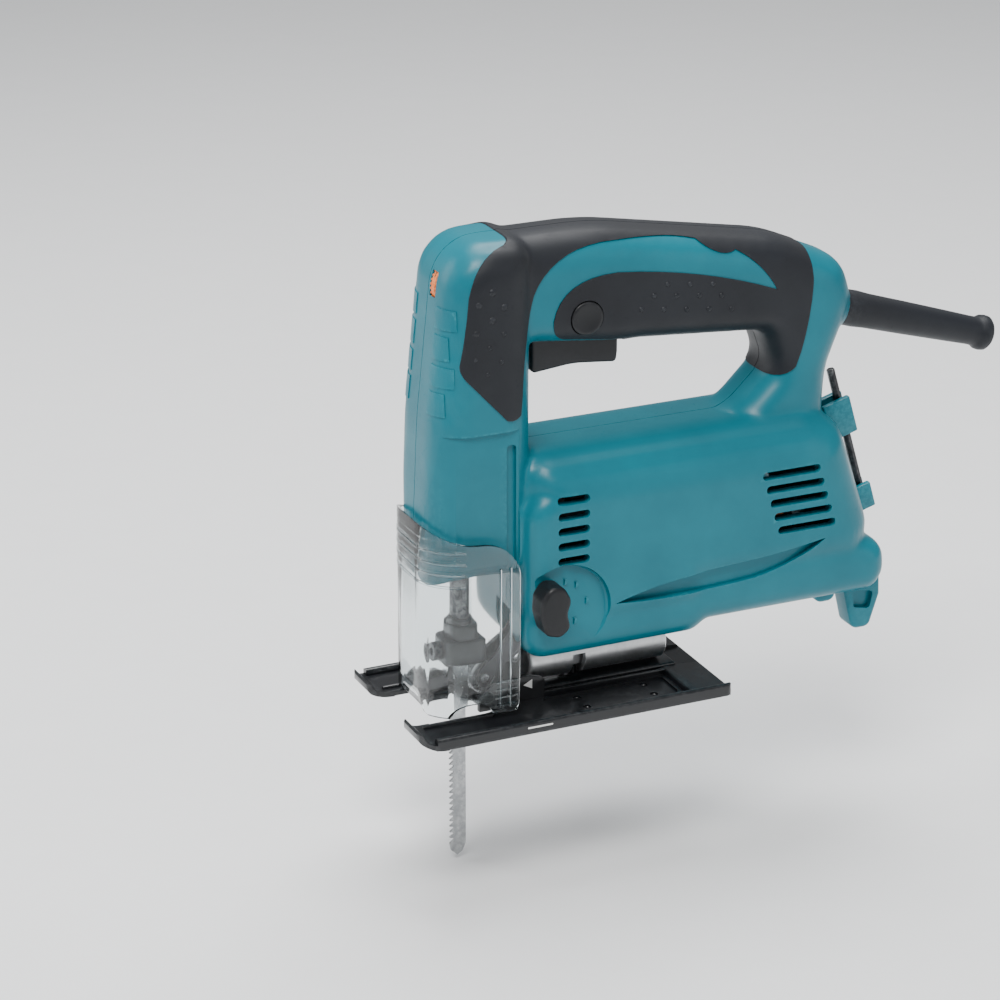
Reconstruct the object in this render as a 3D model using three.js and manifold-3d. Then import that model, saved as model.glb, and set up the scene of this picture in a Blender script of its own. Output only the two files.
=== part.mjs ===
// Corded jigsaw: clamshell housing, motor, gear train, scotch yoke, blade clamp, tilting shoe and dust cover.
// Millimetres. +Z is up, -X is the cutting direction and +Y is the operator's right when facing the blade.
// The dimensions are measured from the middle of the shoe's underside. The nodes are then moved so that the
// origin lies on the solid strip of the sole between the blade throat and the clamp channel.

import * as THREE from 'three';
import { mergeVertices } from 'three/addons/utils/BufferGeometryUtils.js';
import Module from 'manifold-3d';

const wasm = await Module();
wasm.setup();

// ---------------------------------------------------------------- driving dimensions

// shoe
const shoeLength = 135;
const shoeWidth = 76;
const shoeThickness = 2.5;
const shoeCornerRadius = 7;
const throatWidth = 34;
const throatEnd = -25;
const railWidth = 2.5;
const railHeight = 5;
const lipLength = 3;
const lipHeight = 7;
const channelWidth = 15;
const channelHeight = 3.2;
const channelTop = 2;
const channelStart = -10;
const channelEnd = 56;
const cradleWidth = 26;
const cradleWall = 2.5;
const cradleHeight = 13;
const cradleEnd = -4;
const cradleTroughLength = 4;
const shoeTravel = 12;

// tilt cylinder and its clamp
const tiltRadius = 9;
const tiltWall = 2.6;
const tiltStart = -8;
const tiltEnd = 52;
const tiltAngle = THREE.MathUtils.degToRad(45);
const tiltNeckWidth = 12;
const tiltFlangeWidth = 24;
const tiltFlangeThickness = 3;
const clampBoltX = 13;
const clampBoltRadius = 2.5;
const clampBoltHeadRadius = 5;
const clampBoltHeadHeight = 2.2;
const clampNutThickness = 2.6;

// housing
const toolHeight = 197;
const wall = 2.5;
const seam = 0.4;
const bodyHalfWidth = 30;
const bodyTop = 110;
const bodyFloor = 24;
const bodyFront = -18;
const bodyRear = 141;
const bodyRounding = 9;
const lobeHalfWidth = 28.5;
const lobeTop = 54;
const lobeRear = 143;
const noseHalfWidth = 23;
const noseFront = -56;
const noseFloor = 58;
const noseCornerRadius = 32;
const nosePlanRadius = 15;
const handleHalfWidth = 17;
const handleRounding = 8;
const handHoleFront = -12;
const handHoleRear = 98;
const handHoleTop = 144;
const neckRear = 127;
const floorStepX = 59;
const floorStepHeight = 4;
const footHalfWidth = 20;
const footBottom = 10;
const footWall = 3;

// soft grip
const gripDepth = 1.6;

// vents
const ventHeight = 3.2;
const ventPitch = 6.4;
const ventCount = 5;
const frontVentLength = 14;
const rearVentLength = 26;

// motor
const motorHeight = 58;
const shaftRadius = 4;
const coreRadius = 15.6;
const coreStart = 45;
const coreEnd = 79;
const coreSlots = 8;
const airGap = 0.6;
const statorRadius = 25.5;
const coilThickness = 4;
const coilOverhang = 5;
const windingOverhang = 6.5;
const commutatorRadius = 11;
const commutatorStart = 92;
const commutatorEnd = 104;
const fanRadius = 20.5;
const fanStart = 24;
const fanEnd = 33;
const fanBlades = 10;
const bearingGap = 0.15;
const frontBearingRadius = 11;
const frontBearingWidth = 7;
const frontBearingStart = 14.3;
const rearBearingRadius = 9.5;
const rearBearingWidth = 6;
const rearBearingStart = 108;
const shaftEnd = 115;
const brushWidth = 6;
const brushHeight = 7;

// gear train
const gearModule = 1;
const pinionTeeth = 8;
const gearTeeth = 42;
const gearFront = -14;
const gearWidth = 8;
const pinionOverlap = 1;
const pressureAngle = THREE.MathUtils.degToRad(25);
const crankRadius = 9;
const crankPinRadius = 2.5;
const crankRollerRadius = 5;
const crankRollerWidth = 5;
const gearPinRadius = 4;
const gearHousingThickness = 5;
const gearHousingStart = 8;

// slider
const sliderX = -36;
const sliderRadius = 4.5;
const sliderLength = 84;
const yokeThickness = 4;
const yokeClearance = 1.95;
const yokeBar = 4;
const bushWall = 1.6;
const bushLength = 9;
const guideThickness = 2.5;
const guideHalfWidth = 11;
const upperBushStart = 100;

// blade and clamp
const bladeWidth = 7;
const bladeThickness = 1.2;
const bladeTip = -64;
const bladeShankTop = 32;
const toothPitch = 2.9;
const toothDepth = 1.1;
const clampWidth = 15;
const clampBottom = 21;
const clampHeight = 17;
const clampFront = -44;
const clampRear = -27;

// blade guide roller
const rollerRadius = 6;
const rollerWidth = 5;
const rollerZ = 14;
const holderPivotX = -10;
const holderPivotZ = 32;
const holderPivotRadius = 3;
const holderArmThickness = 1.8;
const holderArmWidth = 7;

// orbital lever
const leverX = -10;
const leverZ = 48;
const leverRadius = 12;
const leverHeight = 9;
const leverShaftRadius = 3.4;

// trigger, lock button and speed dial
const triggerHalfWidth = 8;
const triggerDrop = 12;
const triggerFront = -8;
const triggerRear = 29;
const triggerPivotRadius = 2.4;
const lockX = 11;
const lockZ = 160;
const lockRadius = 6.8;
const lockStandout = 1.2;
const lockTravel = 3;
const lockFlange = 1.4;
const lockFlangeThickness = 1.2;
const dialRadius = 15;
const dialThickness = 4;
const dialY = -4;
const dialStandout = 0.5;

// dust cover
const coverWall = 2;
const coverGap = 0.5;
const coverRear = -20;
const coverBottom = 5;
const coverFrontTop = 82;
const coverRearTop = 65;

// cord guard
const guardX = 136;
const guardZ = 142;
const guardSlope = THREE.MathUtils.degToRad(-17);
const guardLength = 68;
const guardBaseRadius = 7.5;
const guardEndRadius = 5.8;
const guardBore = 3.7;
const guardLipRadius = 7.2;
const guardCollarRadius = 10;
const guardCollarThickness = 2.6;

// hex key
const keyAcrossFlats = 3;
const keyTop = [128.5, 117];
const keyBottom = [146, 57.5];
const keyShortLeg = 16;
const keyBend = 4;
const clipCheek = 2.7;

// housing screws: X and Z of each
const screwPlaces = [[-14, 184], [-47.5, 137], [19.5, 35], [128, 38], [117, 96], [108, 159], [66, 178], [62, 102]];
const screwRadius = 1.5;
const screwHeadRadius = 3.2;
const screwHeadHeight = 2.4;
const bossRadius = 4;

// clearances
const touchGap = 0.3;
const runningGap = 0.25;
const slideGap = 0.5;

// heights that follow from the sizes above
const tiltAxisHeight = channelHeight + channelTop + touchGap + tiltRadius;
const lowerBushStart = noseFloor + wall + touchGap;

// ---------------------------------------------------------------- shape helpers

const permuteToX = new THREE.Matrix4().set(0, 0, 1, 0, 1, 0, 0, 0, 0, 1, 0, 0, 0, 0, 0, 1);

function solid(geometry) {
  geometry.deleteAttribute('normal');
  geometry.deleteAttribute('uv');
  const merged = mergeVertices(geometry, 1e-4);
  return new wasm.Manifold(new wasm.Mesh({
    numProp: 3,
    vertProperties: new Float32Array(merged.attributes.position.array),
    triVerts: new Uint32Array(merged.index.array),
  }));
}

function box(x0, x1, y0, y1, z0, z1) {
  const geometry = new THREE.BoxGeometry(x1 - x0, y1 - y0, z1 - z0);
  geometry.translate((x0 + x1) / 2, (y0 + y1) / 2, (z0 + z1) / 2);
  return solid(geometry);
}

// Cylinder along X, Y or Z; the two centre values are its place on the other two axes, in XYZ order.
function rod(axis, radius, start, end, centreA, centreB, sides = 20) {
  const geometry = new THREE.CylinderGeometry(radius, radius, end - start, sides);
  const middle = (start + end) / 2;
  if (axis === 'x') {
    geometry.rotateZ(-Math.PI / 2);
    geometry.translate(middle, centreA, centreB);
  } else if (axis === 'y') {
    geometry.translate(centreA, middle, centreB);
  } else {
    geometry.rotateX(Math.PI / 2);
    geometry.translate(centreA, centreB, middle);
  }
  return solid(geometry);
}

function tube(axis, outer, inner, start, end, centreA, centreB, sides = 20) {
  return rod(axis, outer, start, end, centreA, centreB, sides)
    .subtract(rod(axis, inner, start - 1, end + 1, centreA, centreB, sides));
}

// Side-view shape (X, Z) pushed through from Y = y0 to Y = y1, with rounded edges where a bevel is given.
function sidePrism(shape, y0, y1, bevel = 0, curveSegments = 2) {
  const options = { depth: y1 - y0, bevelEnabled: false, curveSegments };
  if (bevel > 0) {
    options.bevelEnabled = true;
    options.depth = y1 - y0 - 2 * bevel;
    options.bevelThickness = bevel;
    options.bevelSize = bevel;
    options.bevelOffset = -bevel;
    options.bevelSegments = 2;
  }
  const geometry = new THREE.ExtrudeGeometry(shape, options);
  geometry.rotateX(Math.PI / 2);
  geometry.translate(0, y1 - bevel, 0);
  return solid(geometry);
}

// Plan shape (X, Y) pushed up from z0 to z1.
function planPrism(shape, z0, z1, curveSegments = 2) {
  const geometry = new THREE.ExtrudeGeometry(shape, { depth: z1 - z0, bevelEnabled: false, curveSegments });
  geometry.translate(0, 0, z0);
  return solid(geometry);
}

// Front-view shape (Y, Z) pushed along X from x0 to x1.
function frontPrism(shape, x0, x1, curveSegments = 2) {
  const geometry = new THREE.ExtrudeGeometry(shape, { depth: x1 - x0, bevelEnabled: false, curveSegments });
  geometry.applyMatrix4(permuteToX);
  geometry.translate(x0, 0, 0);
  return solid(geometry);
}

// Moves every edge of a counter-clockwise outline inwards and keeps its rounded corners concentric.
function insetCorners(corners, inset) {
  const count = corners.length;
  const lines = corners.map(([x, y], i) => {
    const [nextX, nextY] = corners[(i + 1) % count];
    const length = Math.hypot(nextX - x, nextY - y);
    const dx = (nextX - x) / length;
    const dy = (nextY - y) / length;
    return { x: x - dy * inset, y: y + dx * inset, dx, dy };
  });
  return corners.map(([, , radius], i) => {
    const a = lines[(i + count - 1) % count];
    const b = lines[i];
    const cross = a.dx * b.dy - a.dy * b.dx;
    const along = ((b.x - a.x) * b.dy - (b.y - a.y) * b.dx) / cross;
    const newRadius = cross > 0 ? Math.max(radius - inset, 0) : radius + inset;
    return [a.x + a.dx * along, a.y + a.dy * along, newRadius];
  });
}

// A shape or hole from a path's points, without the doubled points where its curves meet.
function cleaned(path, Kind, divisions) {
  const points = path.getPoints(divisions);
  return new Kind(points.filter((point, i) => point.distanceTo(points[(i + 1) % points.length]) > 0.02));
}

// Closed outline from corners [a, b, radius], counter-clockwise, with each corner rounded by an arc.
function outline(corners, inset = 0, Kind = THREE.Shape, divisions = 2) {
  const placed = inset === 0 ? corners : insetCorners(corners, inset);
  const count = placed.length;
  const path = new THREE.Path();
  placed.forEach(([x, y, radius], i) => {
    const [px, py] = placed[(i + count - 1) % count];
    const [nx, ny] = placed[(i + 1) % count];
    const back = new THREE.Vector2(px - x, py - y).normalize();
    const ahead = new THREE.Vector2(nx - x, ny - y).normalize();
    const half = Math.acos(THREE.MathUtils.clamp(back.dot(ahead), -1, 1)) / 2;
    const room = 0.49 * Math.min(Math.hypot(px - x, py - y), Math.hypot(nx - x, ny - y)) * Math.tan(half);
    const fillet = Math.min(radius, room);
    if (fillet < 0.05) {
      if (i === 0) path.moveTo(x, y);
      else path.lineTo(x, y);
      return;
    }
    const middle = back.clone().add(ahead).normalize();
    const centre = new THREE.Vector2(x, y).addScaledVector(middle, fillet / Math.sin(half));
    const start = new THREE.Vector2(x, y).addScaledVector(back, fillet / Math.tan(half)).sub(centre);
    const end = new THREE.Vector2(x, y).addScaledVector(ahead, fillet / Math.tan(half)).sub(centre);
    const clockwise = back.cross(ahead) > 0;
    path.absarc(centre.x, centre.y, fillet, start.angle(), end.angle(), clockwise);
  });
  return cleaned(path, Kind, divisions);
}

function rectangle(a0, a1, b0, b1, radius = 0) {
  return outline([[a0, b0, radius], [a1, b0, radius], [a1, b1, radius], [a0, b1, radius]]);
}

function joined(solids) {
  return solids.reduce((all, next) => all.add(next));
}

function mirrored(piece) {
  return piece.mirror([0, 1, 0]);
}

function slanted(geometry, angle, x, z) {
  geometry.rotateY(-angle);
  geometry.translate(x, 0, z);
  return solid(geometry);
}

// ---------------------------------------------------------------- the node list

const jigsaw = new THREE.Group();
jigsaw.name = 'jigsaw';

const finishes = {
  teal: { color: 0x1f7f8e, roughness: 0.45, metalness: 0 },
  rubber: { color: 0x2a2f36, roughness: 0.75, metalness: 0 },
  blackPlastic: { color: 0x24272b, roughness: 0.55, metalness: 0 },
  blackSteel: { color: 0x23282c, roughness: 0.5, metalness: 0.4 },
  steel: { color: 0xb9bdc0, roughness: 0.35, metalness: 0.9 },
  aluminium: { color: 0xc4c8ca, roughness: 0.42, metalness: 0.85 },
  copper: { color: 0xb5652f, roughness: 0.4, metalness: 0.8 },
  carbon: { color: 0x2e2e30, roughness: 0.8, metalness: 0 },
  clear: { color: 0xd8e6ea, roughness: 0.08, metalness: 0, transparent: true, opacity: 0.35 },
  orange: { color: 0xf0803c, roughness: 0.5, metalness: 0 },
  board: { color: 0x2f6b3f, roughness: 0.6, metalness: 0 },
};

function addNode(name, finish, piece) {
  const { vertProperties, triVerts } = piece.translate([-originX, 0, 0]).getMesh();
  const geometry = new THREE.BufferGeometry();
  geometry.setAttribute('position', new THREE.BufferAttribute(vertProperties, 3));
  geometry.setIndex(new THREE.BufferAttribute(triVerts, 1));
  geometry.computeVertexNormals();
  const mesh = new THREE.Mesh(geometry, new THREE.MeshStandardMaterial(finishes[finish]));
  mesh.name = name;
  jigsaw.add(mesh);
}

// ---------------------------------------------------------------- derived places

const shoeFront = -shoeLength / 2;
const shoeRear = shoeLength / 2;
const originX = (throatEnd + channelStart + 1) / 2;
const pinionPitchRadius = gearModule * pinionTeeth / 2;
const gearPitchRadius = gearModule * gearTeeth / 2;
const gearHeight = motorHeight + pinionPitchRadius + gearPitchRadius;
const crankHeight = gearHeight - crankRadius;
const noseArcX = noseFront + 2 + noseCornerRadius;
const noseArcZ = toolHeight - 1 - noseCornerRadius;
const dialOffset = noseCornerRadius + dialStandout - dialRadius;
const dialX = noseArcX - dialOffset * 0.75;
const dialZ = noseArcZ + dialOffset * 0.66;
const handHoleFloor = bodyTop;
const bladeBack = sliderX - 0.5 + bladeWidth / 2;
const bladeFront = bladeBack - bladeWidth;
const cradleStart = bladeBack + slideGap;
const rollerX = bladeBack + touchGap + rollerRadius;
const throatHalf = throatWidth / 2;
const coverInnerHalf = noseHalfWidth + coverGap;
const coverOuterHalf = coverInnerHalf + coverWall;

// ---------------------------------------------------------------- housing form

const handleCorners = [
  [-24, bodyTop - 14, 10],
  [neckRear - 1, bodyTop - 14, 10],
  [neckRear, 122, 30],
  [neckRear + 8.5, 150, 12],
  [neckRear + 4, toolHeight - 25, 14],
  [102, toolHeight - 15, 60],
  [40, toolHeight, 80],
  [-24, toolHeight, 10],
];
const handHoleCorners = [
  [handHoleFront, handHoleFloor, 7],
  [handHoleRear - 20, handHoleFloor, 24],
  [handHoleRear, handHoleFloor + 18, 8],
  [handHoleRear - 6, handHoleTop - 4, 5],
  [34, handHoleTop, 5],
  [30, handHoleTop + 4.5, 3],
  [handHoleFront, handHoleTop + 5.5, 3],
];
const noseCorners = [
  [noseFront, noseFloor, 2],
  [-10, noseFloor, 2],
  [-10, toolHeight - 1, 9.5],
  [noseFront + 2, toolHeight - 1, noseCornerRadius],
  [noseFront, 130, 40],
];
const bodyCorners = [
  [bodyFront, bodyFloor + 14, bodyRounding + 0.5],
  [bodyRear - 3, bodyFloor + 14, bodyRounding + 0.5],
  [bodyRear, noseFloor, 14],
  [neckRear, bodyTop - 6, 14],
  [neckRear - 18, bodyTop, 12],
  [bodyFront, bodyTop, 10],
];
const lobeCorners = [
  [bodyFront, bodyFloor, bodyRounding + 0.5],
  [lobeRear - 6, bodyFloor, bodyRounding + 0.5],
  [lobeRear, bodyFloor + 10, 12],
  [lobeRear - 1, lobeTop - 6, 10],
  [lobeRear - 16, lobeTop, 10],
  [bodyFront, lobeTop, bodyRounding + 0.5],
];
const nosePlan = (inset) => outline([
  [noseFront, -noseHalfWidth, nosePlanRadius],
  [-9, -noseHalfWidth, 2],
  [-9, noseHalfWidth, 2],
  [noseFront, noseHalfWidth, nosePlanRadius],
], inset);

// The whole housing form, with every face moved inwards by inset.
function housingForm(inset) {
  const bevelLeft = (bevel) => Math.max(bevel - inset, 1);
  const handHole = sidePrism(outline(insetCorners(handHoleCorners, -inset)), -bodyHalfWidth, bodyHalfWidth);
  const handle = sidePrism(outline(handleCorners, inset), inset - handleHalfWidth, handleHalfWidth - inset,
    bevelLeft(handleRounding)).subtract(handHole);
  const nose = sidePrism(outline(noseCorners, inset), inset - noseHalfWidth, noseHalfWidth - inset)
    .intersect(planPrism(nosePlan(inset), noseFloor - 1, toolHeight + 1));
  const body = sidePrism(outline(bodyCorners, inset), inset - bodyHalfWidth, bodyHalfWidth - inset,
    bevelLeft(bodyRounding));
  const lobe = sidePrism(outline(lobeCorners, inset), inset - lobeHalfWidth, lobeHalfWidth - inset,
    bevelLeft(bodyRounding));
  const step = box(floorStepX - inset, lobeRear - 24, -bodyHalfWidth - 1, bodyHalfWidth + 1,
    bodyFloor - 5, bodyFloor + floorStepHeight + inset);
  return joined([handle, nose, body, lobe]).subtract(step);
}

const outerForm = housingForm(0);
const innerForm = housingForm(wall);
const ribForm = housingForm(wall / 2);

// ---------------------------------------------------------------- shared cutters

const guardPlace = (geometry) => slanted(geometry, guardSlope, guardX, guardZ);

// Solid of revolution about the cord guard's axis, from [radius, distance] pairs.
function guardLathe(profile, sides = 20) {
  const geometry = new THREE.LatheGeometry(profile.map(([r, s]) => new THREE.Vector2(r, s)), sides);
  geometry.rotateZ(-Math.PI / 2);
  return guardPlace(geometry);
}

const guardRod = (radius, start, end) => guardLathe([[0, start], [radius, start], [radius, end], [0, end]]);

const keyDirection = new THREE.Vector2(keyBottom[0] - keyTop[0], keyBottom[1] - keyTop[1]).normalize();
const keyLength = Math.hypot(keyBottom[0] - keyTop[0], keyBottom[1] - keyTop[1]);

// A bar along the key's long leg: lengths from its top end, half width across it and half width in Y.
function keyBar(from, to, behind, ahead, y0, y1) {
  const at = (along, across) => new THREE.Vector2(
    keyTop[0] + keyDirection.x * along - keyDirection.y * across,
    keyTop[1] + keyDirection.y * along + keyDirection.x * across,
  );
  const shape = new THREE.Shape([at(from, -behind), at(to, -behind), at(to, ahead), at(from, ahead)]);
  return sidePrism(shape, y0, y1);
}

function gearOutline(teeth, tipAdd, rootDrop, thicknessShare, turn) {
  const pitch = gearModule * teeth / 2;
  const base = pitch * Math.cos(pressureAngle);
  const root = pitch - rootDrop;
  const tip = pitch + tipAdd;
  const involute = (radius) => {
    const tangent = Math.sqrt(Math.max((radius / base) ** 2 - 1, 0));
    return tangent - Math.atan(tangent);
  };
  const halfAngle = (radius) => thicknessShare * Math.PI / teeth + involute(pitch) - involute(radius);
  const flank = [Math.max(base, root), tip];
  const points = [];
  for (let tooth = 0; tooth < teeth; tooth += 1) {
    const middle = turn + (tooth * 2 * Math.PI) / teeth;
    const place = (radius, angle) => points.push(new THREE.Vector2(
      radius * Math.cos(middle + angle),
      radius * Math.sin(middle + angle),
    ));
    if (root < base) place(root, -halfAngle(base));
    flank.forEach((radius) => place(radius, -halfAngle(radius)));
    [...flank].reverse().forEach((radius) => place(radius, halfAngle(radius)));
    if (root < base) place(root, halfAngle(base));
  }
  return new THREE.Shape(points.filter((point, i) => (
    point.distanceTo(points[(i + 1) % points.length]) > 0.02)));
}

// ---------------------------------------------------------------- soft grip

function gripRegion(spread) {
  const edge = new THREE.Path();
  edge.moveTo(-24, 126);
  edge.lineTo(-18.5, 127);
  edge.quadraticCurveTo(-18, 150, -12, 171);
  edge.quadraticCurveTo(-5, 189, 18, 189.5);
  edge.quadraticCurveTo(48, 189, 64, 184.5);
  edge.quadraticCurveTo(69, 179, 76, 178);
  edge.quadraticCurveTo(87, 172, 93, 160);
  edge.quadraticCurveTo(60, 174, 24, 177);
  edge.quadraticCurveTo(-4, 177, -3, 159);
  edge.quadraticCurveTo(-3, 153, 4, 152.5);
  edge.lineTo(31, 151);
  edge.lineTo(36, handHoleTop - 12);
  edge.lineTo(86, 126);
  edge.quadraticCurveTo(98, 122, 103, 129);
  edge.quadraticCurveTo(112, 152, 109, 184);
  edge.lineTo(109, 206);
  edge.lineTo(-16, 206);
  edge.quadraticCurveTo(-16, 193, -25, 192);
  edge.quadraticCurveTo(-36, 190, -39, 176);
  edge.lineTo(-44, 148);
  const points = edge.getPoints(3).map((point) => [point.x, point.y, 0]);
  const spaced = points.filter(([x, y], i) => {
    const [nextX, nextY] = points[(i + 1) % points.length];
    return Math.hypot(nextX - x, nextY - y) > 0.5;
  });
  return outline(spaced, -spread);
}

const gripBand = (inset, spread) => sidePrism(gripRegion(spread), -40, 40).subtract(housingForm(inset));
const gripPocket = gripBand(gripDepth + touchGap, touchGap);
const gripSkin = outerForm.intersect(gripBand(gripDepth, 0));

// ---------------------------------------------------------------- motor

const axisRod = (radius, start, end, sides) => rod('x', radius, start, end, 0, motorHeight, sides);

function motorPrism(shape, start, end) {
  return frontPrism(shape, start, end).translate([0, 0, motorHeight]);
}

const shaftBore = shaftRadius + touchGap;
const pinionStart = gearFront - pinionOverlap;
const pinionEnd = gearFront + gearWidth + pinionOverlap + 1;
const pinion = motorPrism(gearOutline(pinionTeeth, 0.9, 1.1, 0.42, Math.PI / 2 + Math.PI / pinionTeeth),
  pinionStart, pinionEnd);
const armatureShaft = joined([pinion, axisRod(shaftRadius, pinionEnd - 0.5, shaftEnd)]);

const slotRadius = coreRadius - 7;
const coreSlot = (width, inner, outer, start, end, turn) => box(start, end, -width / 2, width / 2, inner, outer)
  .rotate([turn, 0, 0])
  .translate([0, 0, motorHeight]);
const slotTurns = Array.from({ length: coreSlots }, (_, i) => (i * 360) / coreSlots);
const armatureCore = slotTurns.reduce(
  (core, turn) => core.subtract(coreSlot(3.6, slotRadius, coreRadius + 1, coreStart - 1, coreEnd + 1, turn)),
  tube('x', coreRadius, shaftBore, coreStart, coreEnd, 0, motorHeight),
);
const windingFront = coreStart - windingOverhang;
const windingRear = coreEnd + windingOverhang;
const windingRing = (start, end) => tube('x', coreRadius - 1, slotRadius - 2, start, end, 0, motorHeight);
const armatureWindings = joined([
  windingRing(windingFront, coreStart - touchGap),
  windingRing(coreEnd + touchGap, windingRear),
  ...slotTurns.map((turn) => coreSlot(3, slotRadius + touchGap, coreRadius - 1.5,
    windingFront + 1, windingRear - 1, turn)),
]);
const commutator = tube('x', commutatorRadius, shaftBore, commutatorStart, commutatorEnd, 0, motorHeight);

const fanDisc = 1.2;
const fanBlade = (turn) => box(fanStart + fanDisc / 2, fanEnd, -0.5, 0.5, 8, fanRadius - 0.5)
  .rotate([turn, 0, 0])
  .translate([0, 0, motorHeight]);
const coolingFan = joined([
  tube('x', 9, shaftBore, fanStart, fanEnd, 0, motorHeight),
  tube('x', fanRadius, shaftBore, fanStart, fanStart + fanDisc, 0, motorHeight),
  ...Array.from({ length: fanBlades }, (_, i) => fanBlade((i * 360) / fanBlades)),
]);

const coilInner = coreRadius + airGap + 1;
const coilOuter = coilInner + coilThickness;
const coilArc = (inner, outer, halfAngle, start, end) => {
  const shape = new THREE.Shape();
  shape.absarc(0, 0, outer, Math.PI / 2 - halfAngle, Math.PI / 2 + halfAngle, false);
  shape.absarc(0, 0, inner, Math.PI / 2 + halfAngle, Math.PI / 2 - halfAngle, true);
  return frontPrism(cleaned(shape, THREE.Shape, 6), start, end);
};
const coilHalfAngle = THREE.MathUtils.degToRad(52);
const coilSlotAngle = THREE.MathUtils.degToRad(54);
const fieldCoil = coilArc(coilInner, coilOuter, coilHalfAngle, coreStart - coilOverhang, coreEnd + coilOverhang);
const coilSlot = coilArc(coilInner - touchGap, coilOuter + touchGap, coilSlotAngle, coreStart - 2, coreEnd + 2);
const turnedOver = (piece) => piece.rotate([180, 0, 0]);
const atMotor = (piece) => piece.translate([0, 0, motorHeight]);
const statorHalfWidth = statorRadius - 1.5;
const statorBlank = tube('x', statorRadius, coreRadius + airGap, coreStart - 1, coreEnd + 1, 0, motorHeight, 32)
  .intersect(box(coreStart - 2, coreEnd + 2, -statorHalfWidth, statorHalfWidth, 0, 120));
const statorCore = statorBlank.subtract(atMotor(coilSlot)).subtract(atMotor(turnedOver(coilSlot)));

const bearing = (radius, start, width) => tube('x', radius, shaftRadius + bearingGap, start, start + width,
  0, motorHeight);

const brushX = (commutatorStart + commutatorEnd) / 2;
const brushInner = commutatorRadius + runningGap;
const brushOuter = bodyHalfWidth - wall - 6;
const carbonBrush = box(brushX - brushWidth / 2, brushX + brushWidth / 2, -brushOuter + 4, -brushInner,
  motorHeight - brushHeight / 2, motorHeight + brushHeight / 2);
const holderGrow = touchGap + 1.5;
const brushHolder = box(brushX - brushWidth / 2 - holderGrow, brushX + brushWidth / 2 + holderGrow,
  -brushOuter, -brushInner - 1.2, motorHeight - brushHeight / 2 - holderGrow, motorHeight + brushHeight / 2 + holderGrow)
  .subtract(box(brushX - brushWidth / 2 - touchGap, brushX + brushWidth / 2 + touchGap, -brushOuter - 1, 0,
    motorHeight - brushHeight / 2 - touchGap, motorHeight + brushHeight / 2 + touchGap));

// ---------------------------------------------------------------- gear train

const gearRod = (radius, start, end, sides) => rod('x', radius, start, end, 0, gearHeight, sides);
const gearBack = gearFront + gearWidth;
const driveGear = frontPrism(gearOutline(gearTeeth, 0.6, 1.3, 0.42, -Math.PI / 2), gearFront, gearBack)
  .translate([0, 0, gearHeight])
  .subtract(gearRod(gearPinRadius + bearingGap, gearFront - 1, gearBack + 1))
  .subtract(rod('x', crankPinRadius + touchGap, gearFront - 1, gearBack + 1, 0, crankHeight, 16));
const rollerStart = gearFront - touchGap - crankRollerWidth;
const crankPin = joined([
  rod('x', crankPinRadius, rollerStart - 0.8, gearBack - 0.5, 0, crankHeight, 16),
  rod('x', crankPinRadius + 1.2, rollerStart - 1.8, rollerStart - touchGap, 0, crankHeight, 16),
]);
const crankRoller = tube('x', crankRollerRadius, crankPinRadius + bearingGap, rollerStart,
  rollerStart + crankRollerWidth, 0, crankHeight);
const housingBack = gearHousingStart + gearHousingThickness;
const gearPin = joined([
  gearRod(gearPinRadius, gearFront + 0.5, housingBack - 0.5),
  gearRod(gearPinRadius + 2, gearBack + touchGap, gearHousingStart - touchGap, 16),
]);

const bearingPocketEnd = frontBearingStart + frontBearingWidth;
const gearHousing = joined([
  frontPrism(rectangle(-25, 25, motorHeight - 18, gearHeight + 20, 12), gearHousingStart, housingBack, 4),
  axisRod(frontBearingRadius + 3, gearHousingStart, bearingPocketEnd),
])
  .subtract(axisRod(frontBearingRadius + touchGap, frontBearingStart - touchGap, bearingPocketEnd + 1))
  .subtract(axisRod(shaftRadius + 2, gearHousingStart - 1, bearingPocketEnd))
  .subtract(gearRod(gearPinRadius + touchGap, gearHousingStart - 1, housingBack + 1));

// ---------------------------------------------------------------- slider

const sliderBottom = clampBottom + clampHeight + touchGap;
const yokeSlotHalf = crankRollerRadius + yokeClearance;
const yokeSlotLength = crankRadius + crankRollerRadius + slideGap;
const yokeHalfHeight = yokeSlotHalf + yokeBar;
const yokeStemHalf = 3.5;
const yokeStemBottom = lowerBushStart + bushLength + slideGap;
const yokeStemTop = upperBushStart - 2 * crankRadius - slideGap;
const bushInner = sliderRadius + bearingGap;
const bushOuter = bushInner + bushWall;
const guideRear = sliderX + bushOuter + 2;
const yokeRear = rollerStart + crankRollerWidth - 0.4;
const yokeFront = yokeRear - yokeThickness;
const sliderRod = joined([
  rod('z', sliderRadius, sliderBottom, sliderBottom + sliderLength, sliderX, 0),
  box(yokeFront, yokeRear, -yokeSlotLength - 3, yokeSlotLength + 3,
    crankHeight - yokeHalfHeight, crankHeight + yokeHalfHeight),
  box(sliderX, yokeFront - 6, -yokeStemHalf, yokeStemHalf, yokeStemBottom, yokeStemTop),
  box(guideRear + slideGap, yokeFront + 0.5, -yokeStemHalf, yokeStemHalf,
    crankHeight - yokeHalfHeight, crankHeight + yokeHalfHeight),
]).subtract(box(rollerStart - 2.4, yokeRear + 1, -yokeSlotLength, yokeSlotLength,
  crankHeight - yokeSlotHalf, crankHeight + yokeSlotHalf));

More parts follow.
